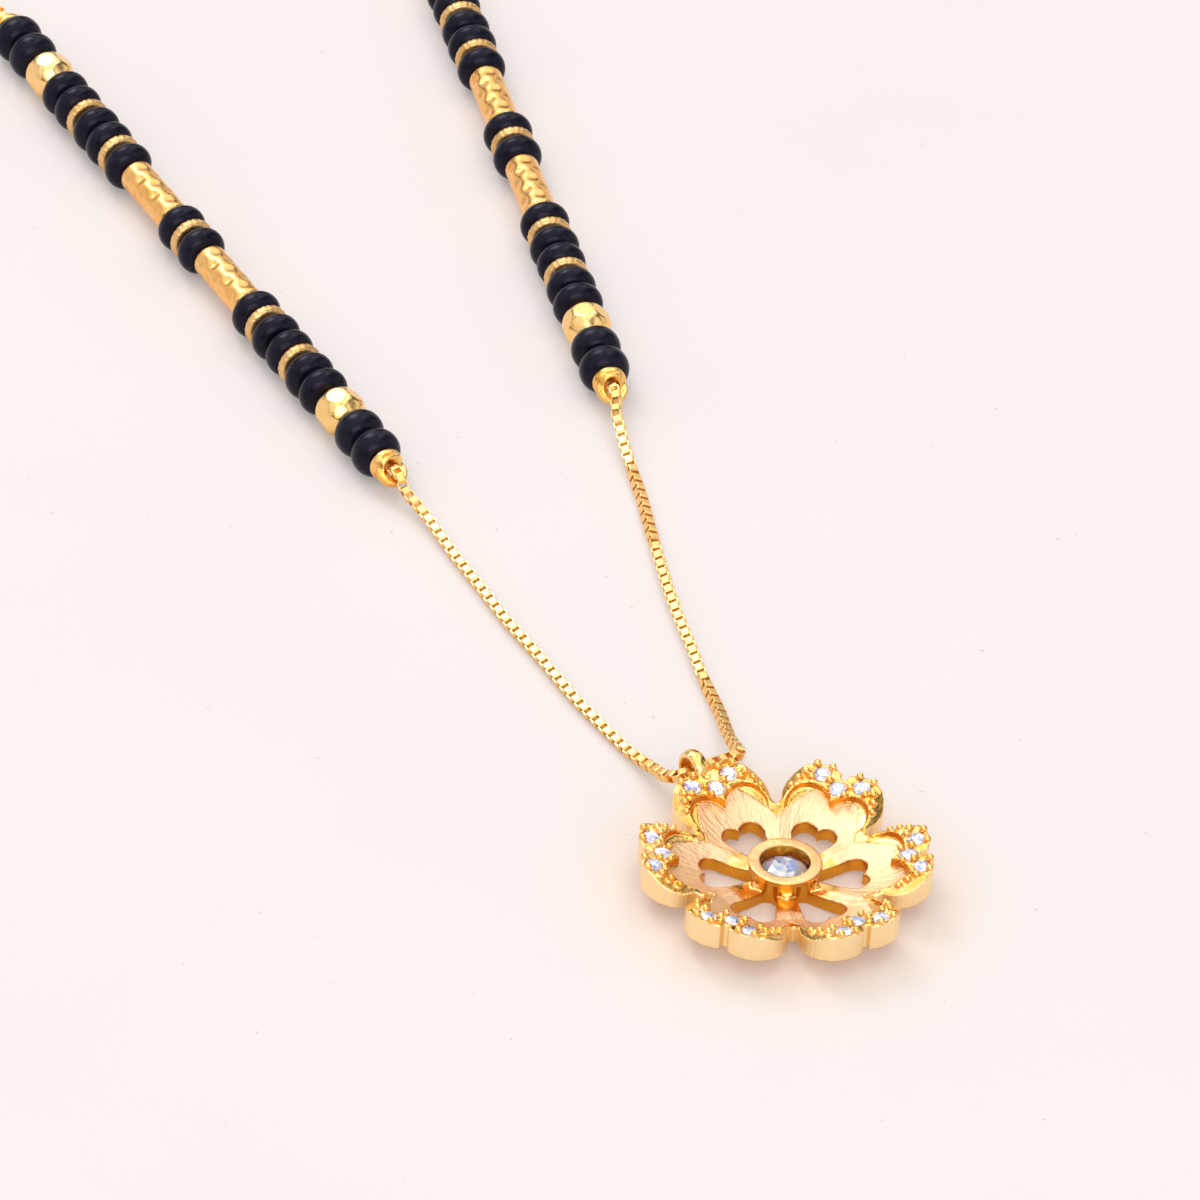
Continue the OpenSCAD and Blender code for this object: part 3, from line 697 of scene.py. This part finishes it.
def mark_pendant(mesh, depth):
    """Marks floors, outer walls to be painted paler and deep walls to be painted
    in shade, and dishes the floors.
    """
    satin, wall, deep = [mesh.attributes.new(name, "FLOAT", "POINT")
                         for name in ("satin", "wall", "deep")]
    brush = mesh.attributes.new("brush", "FLOAT_VECTOR", "POINT")
    normals = [v.vector.copy() for v in mesh.vertex_normals]
    near_floor, floor_end, rim_start = 0.3, 7.4, 5.6
    for v, normal in zip(mesh.vertices, normals):
        r, turn = petal_place(v.co)
        up = normal.z
        rise = v.co.z - floor_z(r)
        inside = in_heart(r, turn)
        flat = smooth_step((up - 0.55) / 0.3)
        value = 0.0
        if inside and abs(rise) < near_floor and r < floor_end:
            value = flat * smooth_step((near_floor - abs(rise)) / 0.12)
        if r < BEZEL_RADIUS + 0.05 and v.co.z > BEZEL_HEIGHT - 0.12:
            value = 0.55 * flat
        satin.data[v.index].value = value
        upright = smooth_step((0.45 - abs(up)) / 0.25)
        out = (normal.x * v.co.x + normal.y * v.co.y) / max(r, 0.1)
        outer = 0.0
        if r > rim_start and out > -0.25:
            sloping = smooth_step((0.86 - abs(up)) / 0.4)
            outer = sloping if out > 0.1 else upright
        # The outer walls get a painted paler tone; the other upright walls get
        # painted shade.
        wall.data[v.index].value = outer
        deep.data[v.index].value = max(0.0, upright - outer)
        whole = math.atan2(v.co.y, v.co.x)
        brush.data[v.index].vector = (whole * 4.5, r, 0)
        if inside and 2.2 < r < 7.7:
            near = max(0.0, 1 - abs(rise) / 0.62)
            v.co.z -= dish(r, turn, depth) * smooth_step(near * 1.6)


class MANGALSUTRA_OT_pendant(bpy.types.Operator):
    """Makes the flower with its rims, walls, prongs, bezel ring and bail"""

    bl_idname = "mangalsutra.pendant"
    bl_label = "Flower pendant"

    def execute(self, context):
        s = sizes()
        mesh = recast("pendant_frame", s.voxel / MM, smoothing=2, factor=0.4)
        mesh.transform(pendant_matrix().inverted())
        mark_pendant(mesh, s.petal_dish / MM)
        add_balls(mesh)
        mesh.transform(pendant_matrix())
        finish_cast("flower_pendant", mesh, pendant_material(),
                    "pendant_frame")
        return {"FINISHED"}


# The cut stones

TABLE_FACES = 24
STONE_FACES = 96


def brilliant(d, matrix, vertices, faces):
    """A round cut stone: table, crown, girdle and pavilion facets."""
    start = len(vertices)

    def ring(count, turn, radius, z):
        for k in range(count):
            a = 360 * k / count + turn
            vertices.append(matrix @ Vector((
                radius * d * cos(a), radius * d * sin(a), z * d)))

    ring(8, 0, 0.27, 0.152)
    ring(8, 22.5, 0.40, 0.088)
    ring(16, 0, 0.5, 0.0)
    ring(16, 0, 0.5, -0.03)
    ring(8, 22.5, 0.13, -0.334)
    vertices.append(matrix @ Vector((0, 0, -0.43 * d)))
    ring(8, 22.5, 0.13, 0.152)
    vertices.append(matrix @ Vector((0, 0, 0.152 * d)))

    def ring_at(first, count):
        return lambda k: start + first + k % count

    table, mid, upper = ring_at(0, 8), ring_at(8, 8), ring_at(16, 16)
    lower, deep, glint = ring_at(32, 16), ring_at(48, 8), ring_at(57, 8)
    tip, heart = start + 56, start + 65
    for k in range(8):
        faces += [
            (table(k), table(k + 1), glint(k)),
            (table(k + 1), glint(k + 1), glint(k)),
            (glint(k), glint(k + 1), heart),
            (table(k), mid(k), table(k + 1)),
            (table(k), mid(k - 1), upper(2 * k), mid(k)),
            (mid(k), upper(2 * k), upper(2 * k + 1)),
            (mid(k), upper(2 * k + 1), upper(2 * k + 2)),
            (lower(2 * k), deep(k - 1), tip, deep(k)),
            (deep(k), lower(2 * k + 1), lower(2 * k)),
            (deep(k), lower(2 * k + 2), lower(2 * k + 1))]
    for k in range(16):
        faces.append((upper(k), lower(k), lower(k + 1), upper(k + 1)))


def paint_facet_reflections(piece, seed, dim=1.0):
    """Paints each facet a reflection tone; the table gets painted reflections of
    the facets below it.
    """
    chance = random.Random(seed)
    mesh = piece.data
    base = colours().stone
    # Painted reflections and sparkle: the clear stone's facets get white, blue,
    # lilac and dark blue tones.
    tones = [(1, 1, 1), (1, 1, 1), (0.9, 0.95, 1), (0.6, 0.7, 1),
             (0.86, 0.78, 0.98), (0.4, 0.46, 0.8), (1, 0.93, 0.9)]
    below = [(0.95, 0.96, 1), (0.62, 0.6, 0.8), (0.46, 0.5, 0.85),
             (0.8, 0.8, 0.95), (0.24, 0.26, 0.5), (0.5, 0.46, 0.6)]
    if len(mesh.polygons) % STONE_FACES:
        raise RuntimeError("a stone has lost a facet")
    layer = mesh.color_attributes.new("facet", "FLOAT_COLOR", "CORNER")
    for face in mesh.polygons:
        tone = chance.choice(tones)
        if face.index % STONE_FACES < TABLE_FACES:
            tone = chance.choice(below)
        for loop in face.loop_indices:
            layer.data[loop].color = (
                *[dim * a * b for a, b in zip(base, tone)], 1)


class MANGALSUTRA_OT_stones(bpy.types.Operator):
    """Makes the middle stone and the three stones of each petal"""

    bl_idname = "mangalsutra.stones"
    bl_label = "Cut stones"

    def execute(self, context):
        material = stone_material()
        whole = pendant_matrix()
        vertices, faces = [], []
        brilliant(CENTRE_STONE_DIAMETER, whole @ shift(0, 0, CENTRE_STONE_Z),
                  vertices, faces)
        piece = finish("middle_stone", vertices, faces, material,
                       ["centre_stone"], smooth=False)
        # The middle stone's painted reflection tones are painted darker.
        paint_facet_reflections(piece, sizes().seed, 0.62)
        for petal in range(PETALS):
            vertices, faces = [], []
            for k in range(3):
                r = INNER_STONE_RING if k == 1 else STONE_RING
                turn = petal * 60 + (k - 1) * STONE_TURN
                place = (whole @ rotation(turn, "Z")
                         @ shift(r, 0, platform_z(r))
                         @ rotation(-STONE_TILT, "Y")
                         @ rotation(17 * k + 11 * petal, "Z"))
                brilliant(STONE_DIAMETER, place, vertices, faces)
            names = ["petal_stone_%d%s" % (petal + 1, c) for c in "abc"]
            piece = finish("stones_of_petal_%d" % (petal + 1), vertices,
                           faces, material, names,
                           smooth=False)
            paint_facet_reflections(piece, sizes().seed + petal + 1)
        return {"FINISHED"}


# The strands

def thread_pieces(letter, piece, node, profile, sides, material, shape):
    """Turns each strand's pieces of one kind at their places."""
    for side in ("left", "right"):
        for n, x in enumerate(places(letter)):
            vertices, faces = [], []
            lathe(profile, sides, strand_matrix(side) @ shift(x),
                  vertices, faces, shape)
            finish("%s_gold_%s_%d" % (side, piece, n + 1), vertices, faces,
                   material, ["%s_%s_%d" % (side, node, n + 1)])


class MANGALSUTRA_OT_black_beads(bpy.types.Operator):
    """Makes the two strands' black glass beads, each a little different"""

    bl_idname = "mangalsutra.black_beads"
    bl_label = "Black beads"

    def execute(self, context):
        material = glass_material()
        chance = random.Random(sizes().seed)
        for side in ("left", "right"):
            vertices, faces = [], []
            beads = [(x, BEAD_LENGTH) for x in places("b")]
            beads += [(x, END_BEAD_LENGTH) for x in places("e")]
            for x, length in beads:
                big = 1 - chance.uniform(0, 0.025)
                place = (strand_matrix(side) @ shift(x)
                         @ rotation(chance.uniform(-1.2, 1.2), "Z")
                         @ rotation(chance.uniform(0, 60), "X"))
                outline = rounded_profile(
                    length / 2, BEAD_DIAMETER / 2 * big, BORE / 2,
                    2.25, 20)
                lathe(outline, sizes().bead_sides, place, vertices, faces)
            finish(side + "_strand_beads", vertices, faces, material,
                   [side + "_black_beads"])
        return {"FINISHED"}


def facet_planes():
    """The ball's cut faces, about the strand's line as X: way and depth."""
    count, belt_depth, side_depth, lean = 7, 1.452, 1.49, 52
    found = []
    for k in range(count):
        a = 360 * (k + 0.5) / count
        found.append((Vector((0, cos(a), sin(a))), belt_depth))
        b = a + 180 / count
        for s in (-1, 1):
            found.append((Vector((s * sin(lean), cos(lean) * cos(b),
                                  cos(lean) * sin(b))), side_depth))
    return found


BALL_FACETS = facet_planes()


def cut_ball(x, r, a):
    """Radius of a cut ball where the round one has radius r."""
    if r <= BORE / 2 + 1e-6:
        return r
    way = Vector((x, r * math.cos(a), r * math.sin(a)))
    reach = 1.0
    for normal, depth in BALL_FACETS:
        d = way.dot(normal)
        if d > depth:
            reach = min(reach, depth / d)
    return r * reach


def ball_outline():
    """A drilled ball's closed outline: (x, radius) pairs."""
    radius = BALL_DIAMETER / 2
    half = BALL_LENGTH / 2
    start = math.atan2(math.sqrt(radius * radius - half * half), half)
    points = []
    for k in range(37):
        a = start + (math.pi - 2 * start) * k / 36
        points.append((radius * math.cos(a), radius * math.sin(a)))
    return points + [(-half, BORE / 2), (half, BORE / 2)]


class MANGALSUTRA_OT_balls(bpy.types.Operator):
    """Makes the four gold balls with their broad cut faces"""

    bl_idname = "mangalsutra.balls"
    bl_label = "Gold balls"

    def execute(self, context):
        c = colours()
        material = gold_material("ball_gold", c.gold, (1.0, 0.66, 0.28), 0.2)
        thread_pieces("a", "ball", "ball", ball_outline(), 84, material,
                      cut_ball)
        return {"FINISHED"}


def tube_outline():
    """A drilled tube's closed outline with round corners."""
    half = TUBE_LENGTH / 2
    radius = TUBE_DIAMETER / 2
    x, r = half - TUBE_CORNER, radius - TUBE_CORNER
    points = [(half, BORE / 2), (half, r)]
    for k in range(1, 7):
        points.append((x + TUBE_CORNER * cos(15 * k),
                       r + TUBE_CORNER * sin(15 * k)))
    for k in range(1, 50):
        points.append((x - 2 * x * k / 50, radius))
    for k in range(6):
        points.append((-x - TUBE_CORNER * sin(15 * k),
                       r + TUBE_CORNER * cos(15 * k)))
    return points + [(-half, r), (-half, BORE / 2)]


def dimpled_tube(x, r, a):
    """Radius of a tube with staggered dimples where the plain one has r."""
    rows, around, width, length, margin = 5, 6, 0.46, 0.48, 0.45
    radius = TUBE_DIAMETER / 2
    if r < radius - 0.02 or abs(x) > TUBE_LENGTH / 2 - 0.4:
        return r
    pitch = (TUBE_LENGTH - 2 * margin) / rows
    sink = 0.0
    for row in range(rows):
        turn = (a / (2 * math.pi) * around + row / 2) % 1 - 0.5
        across = turn * 2 * math.pi * radius / around / width
        along = (x - (row - (rows - 1) / 2) * pitch) / length
        sink += max(0.0, 1 - across * across - along * along) ** 1.5
    return r - sizes().dimple_depth / MM * min(1.0, sink)


class MANGALSUTRA_OT_tubes(bpy.types.Operator):
    """Makes the four gold tubes with their staggered dimples"""

    bl_idname = "mangalsutra.tubes"
    bl_label = "Gold tubes"

    def execute(self, context):
        material = gold_material("tube_gold", (0.96, 0.5, 0.14),
                                 (1.0, 0.57, 0.2), 0.26)
        thread_pieces("t", "tube", "tube", tube_outline(), 72, material,
                      dimpled_tube)
        return {"FINISHED"}


def toothed_disc(x, r, a):
    """Radius of a disc with fine teeth where the plain one has r."""
    teeth, depth = 22, 0.035
    if r < SPACER_DIAMETER / 2 - 0.2:
        return r
    return r - depth * (0.5 - 0.5 * math.cos(teeth * a)) ** 2


class MANGALSUTRA_OT_spacers(bpy.types.Operator):
    """Makes the gold discs between the black beads"""

    bl_idname = "mangalsutra.spacers"
    bl_label = "Gold discs"

    def execute(self, context):
        material = gold_material("disc_gold", (0.72, 0.42, 0.16),
                                 (0.86, 0.55, 0.24), 0.36)
        outline = rounded_profile(SPACER_LENGTH / 2, SPACER_DIAMETER / 2,
                                  BORE / 2, 3.4, 14)
        thread_pieces("s", "disc", "spacer", outline, 110, material,
                      toothed_disc)
        return {"FINISHED"}


class MANGALSUTRA_OT_threads(bpy.types.Operator):
    """Gives the wires inside the strands their gold"""

    bl_idname = "mangalsutra.threads"
    bl_label = "Strand wires"

    def execute(self, context):
        c = colours()
        material = gold_material("wire_gold", c.deep_gold, c.gold, 0.25)
        for side in ("left", "right"):
            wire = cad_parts[side + "_thread"]
            wire.data.materials.clear()
            wire.data.materials.append(material)
        return {"FINISHED"}


class MANGALSUTRA_OT_ends(bpy.types.Operator):
    """Makes the strands' end pieces, the clasp and its ring"""

    bl_idname = "mangalsutra.ends"
    bl_label = "End pieces and clasp"

    def execute(self, context):
        c = colours()
        material = gold_material("end_gold", c.deep_gold, c.gold, 0.26)
        names = {"left_front_eye": 0.05, "right_front_eye": 0.05,
                 "left_back_eye": 0.05, "right_back_eye": 0.05,
                 "clasp": 0.1, "clasp_ring": 0.07}
        for node, voxel in names.items():
            mesh = recast(node, voxel, smoothing=30, factor=0.5)
            finish_cast(node + "_cast", mesh, material, node)
        return {"FINISHED"}


# The chains

def hook(eye, turn, z, tilt, tip, bend, lean=0):
    """Points of a chain's end as it comes up through an eye and over."""
    points = []
    for a in HOOK_TURNS:
        x = -tip * cos(tilt) + bend * cos(a + tilt)
        h = -tip * sin(tilt) + bend * sin(a + tilt)
        y = -h * sin(lean)
        points.append((eye[0] + x * cos(turn) - y * sin(turn),
                       eye[1] + x * sin(turn) + y * cos(turn),
                       z + h * cos(lean)))
    return points


def eye_hook(place, turn):
    """The hook at one of the strands' end pieces."""
    wire = (EYE_DIAMETER - EYE_HOLE) / 2
    bend = math.hypot(wire, EYE_THICKNESS) / 2 + CHAIN_WIDTH / 2 + CHAIN_GAP
    z = BEAD_DIAMETER / 2 - sin(EYE_TILT) * EYE_ROOT * 0.8
    return hook(place, turn, z, EYE_TILT, (EYE_DIAMETER + EYE_HOLE) / 4, bend)


def far_eye(side):
    """The middle of a strand's far eye."""
    x, y, turn = EYES[side]
    return (x + STRAND_LENGTH * cos(turn), y + STRAND_LENGTH * sin(turn))


def clasp_hooks():
    """The hooks over the clasp's tail and over its ring."""
    tilt = math.degrees(math.asin(
        (RING_Z - CLASP_THICKNESS / 2 - 0.04) / (TAIL_X + TAIL_RADIUS)))
    reach = TAIL_X * cos(tilt)
    tail = (RING_POINT[0] + reach * cos(RING_TURN),
            RING_POINT[1] + reach * sin(RING_TURN))
    wire = TAIL_RADIUS - TAIL_HOLE
    over_tail = hook(
        tail, RING_TURN + 180, RING_Z - TAIL_X * sin(tilt), tilt,
        (TAIL_RADIUS + TAIL_HOLE) / 2,
        math.hypot(wire, CLASP_THICKNESS) / 2 + CHAIN_WIDTH / 2 + CHAIN_GAP)
    over_ring = hook(RING_POINT, RING_TURN, RING_Z, 0, RING_RADIUS,
                     RING_WIRE / 2 + CHAIN_WIDTH / 2 + CHAIN_GAP, RING_LEAN)
    return over_tail, over_ring


def smooth_route(points):
    """A smooth curve through the points, never below the surface."""
    points = [Vector(p) for p in points]

    def way(i):
        if i == 0:
            return (points[1] - points[0]).normalized()
        if i == len(points) - 1:
            return (points[i] - points[i - 1]).normalized()
        before = (points[i] - points[i - 1]).length
        after = (points[i + 1] - points[i]).length
        return (points[i + 1] - points[i - 1]) / (before + after)

    curve = []
    for i in range(len(points) - 1):
        a, b = points[i], points[i + 1]
        length = (b - a).length
        u, v = way(i) * length, way(i + 1) * length
        n = max(2, round(length / ROUTE_STEP))
        for k in range(n):
            t = k / n
            t2, t3 = t * t, t * t * t
            curve.append(a * (2 * t3 - 3 * t2 + 1) + u * (t3 - 2 * t2 + t)
                         + b * (3 * t2 - 2 * t3) + v * (t3 - t2))
    curve.append(points[-1])
    for p in curve:
        p.z = max(p.z, CHAIN_WIDTH / 2 + CHAIN_LIFT)
    return curve


def up_ways(curve, middle, roll):
    """The way each point's top face looks: level, then turned by roll."""
    ways = []
    for i in range(len(curve)):
        a = curve[max(0, i - 1)]
        b = curve[min(len(curve) - 1, i + 1)]
        ways.append((b - a).normalized())
    ups = [None] * len(curve)

    def settle_up(i, last):
        up = last - ways[i] * last.dot(ways[i])
        ups[i] = up.normalized()

    righting = Vector((0, 0, 0.12))
    settle_up(middle, Vector((0, 0, 1)))
    for i in range(middle + 1, len(curve)):
        settle_up(i, ups[i - 1] + righting)
    for i in range(middle - 1, -1, -1):
        settle_up(i, ups[i + 1] + righting)
    turned = []
    for i, up in enumerate(ups):
        turn = Matrix.Rotation(math.radians(roll(curve[i])), 3, ways[i])
        turned.append(turn @ up)
    return turned


def front_roll(p):
    """How the front chain lies: its left run even, its right run turned."""
    left_roll = 20
    between_runs = 39.6 if p.y < -73 else 31 - 0.24 * (p.y + 43)
    if p.x < between_runs:
        return left_roll
    # Place along Y and roll, from the bail to the right end piece
    table = [(-82, 18), (-73, 18), (-71, -22), (-59.5, -22),
             (-57, 22), (-51.5, 22), (-49.5, -22), (-43, -22)]
    for (y0, a0), (y1, a1) in zip(table, table[1:]):
        if y0 <= p.y <= y1:
            return a0 + (a1 - a0) * smooth_step((p.y - y0) / (y1 - y0))
    return table[0][1] if p.y < table[0][0] else table[-1][1]


def back_roll(p):
    """How the back chains lie: slowly turning from face to edge."""
    return 45 * smooth_step(0.5 + 0.5 * math.sin(0.09 * (p.x + p.y)))


def link_mesh():
    """One square link bent from a strip, its corners cut."""
    s = sizes()
    wall = s.link_wall / MM
    band = s.link_band / MM / 2
    length = s.link_pitch / MM / 2 + wall - 0.005
    height = CHAIN_WIDTH / 2
    chamfer, inner_chamfer, edge, edge_share = 0.11, 0.0385, 0.045, 0.94

    def loop(x, z, c, share=1.0):
        corners = [(x, z - c), (x - c, z), (-x + c, z), (-x, z - c),
                   (-x, -z + c), (-x + c, -z), (x - c, -z), (x, -z + c)]
        return [(x * share, z * share) for x, z in corners]

    outer = loop(length, height, chamfer)
    shrunk = loop(length, height, chamfer, edge_share)
    inner = loop(length - wall, height - wall, inner_chamfer)
    rings = ((outer, band - edge), (outer, -band + edge), (shrunk, -band),
             (inner, -band), (inner, band), (shrunk, band))
    vertices = [(x, y, z) for ring, y in rings for x, z in ring]
    faces = []
    for i in range(len(rings)):
        j = (i + 1) % len(rings)
        for k in range(8):
            m = (k + 1) % 8
            faces.append((8 * i + k, 8 * i + m, 8 * j + m, 8 * j + k))
    mesh = bpy.data.meshes.new("chain_link")
    mesh.from_pydata([tuple(Vector(v) * MM) for v in vertices], [], faces)
    work = bmesh.new()
    work.from_mesh(mesh)
    bmesh.ops.recalc_face_normals(work, faces=work.faces)
    work.to_mesh(mesh)
    work.free()
    return mesh


def chain_tree():
    """Box links along a line, each turned a quarter from the last."""
    tree = bpy.data.node_groups.new("Box chain", "GeometryNodeTree")
    for name, way, kind in (
            ("Geometry", "INPUT", "Geometry"), ("Link", "INPUT", "Object"),
            ("Pitch", "INPUT", "Float"), ("Gold", "INPUT", "Material"),
            ("Geometry", "OUTPUT", "Geometry")):
        tree.interface.new_socket(name, in_out=way,
                                  socket_type="NodeSocket" + kind)

    n = Nodes(tree)
    given = tree.nodes.new("NodeGroupInput").outputs
    line = n.out("Curve", "GeometryNodeMeshToCurve",
                 {"Mesh": given["Geometry"]})
    even = n.out("Curve", "GeometryNodeResampleCurve",
                 {"Curve": line, "Length": given["Pitch"]}, mode="LENGTH")
    axes = n.out("Rotation", "FunctionNodeAxesToRotation", {
        "Primary Axis": n.out("Tangent", "GeometryNodeInputTangent", {}),
        "Secondary Axis": n.out(
            "Attribute", "GeometryNodeInputNamedAttribute", {"Name": "up"},
            data_type="FLOAT_VECTOR")},
        primary_axis="X", secondary_axis="Z")
    index = n.out("Index", "GeometryNodeInputIndex", {})
    quarter = n.maths("MULTIPLY", n.maths("MODULO", index, 2), math.pi / 2)
    about = n.out("Vector", "ShaderNodeCombineXYZ", {"X": quarter})
    turn = n.out("Rotation", "FunctionNodeEulerToRotation", {"Euler": about})
    turned = n.out("Rotation", "FunctionNodeRotateRotation",
                   {"Rotation": axes, "Rotate By": turn},
                   rotation_space="LOCAL")
    link = n.out("Geometry", "GeometryNodeObjectInfo",
                 {"Object": given["Link"]}, transform_space="ORIGINAL")
    links = n.out("Instances", "GeometryNodeInstanceOnPoints",
                  {"Points": even, "Instance": link, "Rotation": turned})
    whole = n.out("Geometry", "GeometryNodeRealizeInstances",
                  {"Geometry": links})
    paint = n.out("Geometry", "GeometryNodeSetMaterial",
                  {"Geometry": whole, "Material": given["Gold"]})
    result = tree.nodes.new("NodeGroupOutput")
    n.put(paint, result.inputs["Geometry"])
    return tree


def set_inputs(modifier, tree, values):
    """Sets a modifier's inputs by their sockets' identifiers."""
    for item in tree.interface.items_tree:
        if item.item_type == "SOCKET" and item.in_out == "INPUT":
            if item.name in values:
                modifier[item.identifier] = values[item.name]


def make_chain(name, node, points, roll, middle_at, tree, link, material):
    """One chain of interlocked box links along its route."""
    curve = smooth_route(points)
    middle = min(range(len(curve)),
                 key=lambda i: (curve[i] - Vector(middle_at)).length)
    ups = up_ways(curve, middle, roll)
    mesh = bpy.data.meshes.new(name + "_line")
    mesh.from_pydata([tuple((p + SHIFT) * MM) for p in curve],
                     [(i, i + 1) for i in range(len(curve) - 1)], [])
    layer = mesh.attributes.new("up", "FLOAT_VECTOR", "POINT")
    for i, up in enumerate(ups):
        layer.data[i].vector = up
    piece = add_object(name, mesh)
    modifier = piece.modifiers.new("Box chain", "NODES")
    modifier.node_group = tree
    set_inputs(modifier, tree, {"Link": link, "Pitch": sizes().link_pitch,
                                "Gold": material})
    bpy.context.view_layer.update()
    depsgraph = bpy.context.evaluated_depsgraph_get()
    result = bpy.data.meshes.new_from_object(piece.evaluated_get(depsgraph))
    if len(result.polygons) < 100:
        raise RuntimeError(name + " came out without its links")
    piece.modifiers.remove(modifier)
    piece.data = result
    piece.data.name = name
    settle(piece, [node])


class MANGALSUTRA_OT_chains(bpy.types.Operator):
    """Makes the front chain and the two back chains of box links"""

    bl_idname = "mangalsutra.chains"
    bl_label = "Box chains"

    def execute(self, context):
        c = colours()
        material = gold_material("chain_gold", c.gold, (1.0, 0.65, 0.26), 0.25,
                                 grain=0.006)
        helper = add_object("chain_link", link_mesh())
        tree = chain_tree()
        left, right = EYES["left"], EYES["right"]
        front = (eye_hook(left[:2], left[2]) + FRONT_LEFT_POINTS
                 + [BAIL_POINT] + FRONT_RIGHT_POINTS
                 + eye_hook(right[:2], right[2])[::-1])
        make_chain("front_box_chain", "front_chain", front, front_roll,
                   FRONT_LEFT_POINTS[6], tree, helper, material)
        over_tail, over_ring = clasp_hooks()
        for side, points, end in (("left", BACK_LEFT_POINTS, over_tail),
                                  ("right", BACK_RIGHT_POINTS, over_ring)):
            start = eye_hook(far_eye(side), EYES[side][2] + 180)
            make_chain(side + "_back_box_chain", side + "_back_chain",
                       start + points + end[::-1], back_roll, points[3],
                       tree, helper, material)
        bpy.data.objects.remove(helper)
        return {"FINISHED"}


# The stage

def camera_matrix():
    """Stands and turns the camera as the photograph has it."""
    c, s = cos(CAMERA_ELEVATION), sin(CAMERA_ELEVATION)
    ahead = Vector((0, c, -s))
    right = Vector((1, 0, 0))
    up = Vector((0, s, c))
    place = (CAMERA_TARGET + SHIFT - ahead * CAMERA_DISTANCE) * MM
    c, s = cos(CAMERA_ROLL), sin(CAMERA_ROLL)
    across = right * c - up * s
    upward = right * s + up * c
    turn = Matrix((across, upward, -ahead)).transposed().to_4x4()
    return Matrix.Translation(place) @ turn


def soft_light(name, place, target, size, power, colour):
    """A square soft light that looks at the target."""
    lamp = bpy.data.lights.new(name, "AREA")
    lamp.shape = "RECTANGLE"
    lamp.size, lamp.size_y = size
    lamp.energy = power
    lamp.color = colour
    holder = add_object(name, lamp)
    way = Vector(target) - Vector(place)
    holder.location = place
    holder.rotation_euler = way.to_track_quat("-Z", "Y").to_euler()


def studio_world():
    """A white tent: bright above, dimmer low down, with darker gaps."""
    world = bpy.data.worlds.new("studio")
    world.use_nodes = True
    m = Nodes(world.node_tree, "Background")
    way = m.out("Generated", "ShaderNodeTexCoord", {})
    up = m.out("Z", "ShaderNodeSeparateXYZ", {"Vector": way})
    height = m.ramp(up, [
        (0.0, (0.42, 0.4, 0.38)), (0.3, (0.46, 0.4508, 0.4416)),
        (0.6, (0.66, 0.6468, 0.6336)), (1.0, (1.0, 0.99, 0.98))])
    patches = m.noise(way, 2.4, 0.0)
    m.feed(Color=height, Strength=m.spread(patches, 0.12, 1.75, 0.38, 0.47))
    return world


class MANGALSUTRA_OT_stage(bpy.types.Operator):
    """Makes the pale paper, the soft studio light and the camera"""

    bl_idname = "mangalsutra.stage"
    bl_label = "Paper, light and camera"

    def execute(self, context):
        scene = context.scene
        scene.view_settings.view_transform = "Standard"
        mesh = bpy.data.meshes.new("paper")
        a, z = 2.5, -0.00002
        mesh.from_pydata([(-a, -a, z), (a, -a, z), (a, a, z), (-a, a, z)],
                         [], [(0, 1, 2, 3)])
        mesh.materials.append(paper_material())
        paper = add_object("paper", mesh)
        scene.world = studio_world()
        middle = (0.035, -0.07, 0)
        for name, place, size, power, colour in (
                ("window_light", (0.22, 0.2, 0.62), (0.14, 0.14), 0.22,
                 (1.0, 0.98, 0.95)),
                ("ceiling_light", (0.02, 0.1, 0.75), (0.36, 0.32), 0.12,
                 (1.0, 0.98, 0.97)),
                ("left_light", (-0.26, 0.31, 0.52), (0.28, 0.28), 1.3,
                 (1.0, 0.98, 0.99)),
                ("front_light", (0.12, -0.5, 0.3), (0.4, 0.24), 0.82,
                 (1.0, 0.98, 0.96))):
            soft_light(name, place, middle, size, power, colour)
        camera = bpy.data.cameras.new("camera")
        camera.sensor_width = SENSOR
        camera.lens = SENSOR * FOCAL_PIXELS / PICTURE_PIXELS
        camera.clip_start = 0.01
        camera.clip_end = 20
        holder = add_object("camera", camera)
        holder.matrix_world = camera_matrix()
        scene.camera = holder
        return {"FINISHED"}


class MANGALSUTRA_PT_panel(bpy.types.Panel):
    """Lists the settings and the pieces of the mangalsutra"""

    bl_idname = "MANGALSUTRA_PT_panel"
    bl_label = "Mangalsutra"
    bl_space_type = "VIEW_3D"
    bl_region_type = "UI"
    bl_category = "Mangalsutra"

    def draw(self, context):
        layout = self.layout
        for group in (sizes(), colours()):
            box = layout.box()
            for key in group.__annotations__:
                box.prop(group, key)
        for operator in OPERATORS:
            layout.operator(operator.bl_idname)


OPERATORS = (
    MANGALSUTRA_OT_stage, MANGALSUTRA_OT_pendant, MANGALSUTRA_OT_stones,
    MANGALSUTRA_OT_black_beads, MANGALSUTRA_OT_balls,
    MANGALSUTRA_OT_tubes, MANGALSUTRA_OT_spacers, MANGALSUTRA_OT_threads,
    MANGALSUTRA_OT_ends, MANGALSUTRA_OT_chains)
CLASSES = (MangalsutraSizes, MangalsutraColours) + OPERATORS + (
    MANGALSUTRA_PT_panel,)


def register():
    for item in CLASSES:
        bpy.utils.register_class(item)
    bpy.types.Scene.mangalsutra_sizes = PointerProperty(
        type=MangalsutraSizes)
    bpy.types.Scene.mangalsutra_colours = PointerProperty(
        type=MangalsutraColours)


def unregister():
    del bpy.types.Scene.mangalsutra_colours
    del bpy.types.Scene.mangalsutra_sizes
    for item in reversed(CLASSES):
        bpy.utils.unregister_class(item)


def main():
    register()
    for operator in OPERATORS:
        group, name = operator.bl_idname.split(".")
        getattr(getattr(bpy.ops, group), name)()


if __name__ == "__main__":
    main()
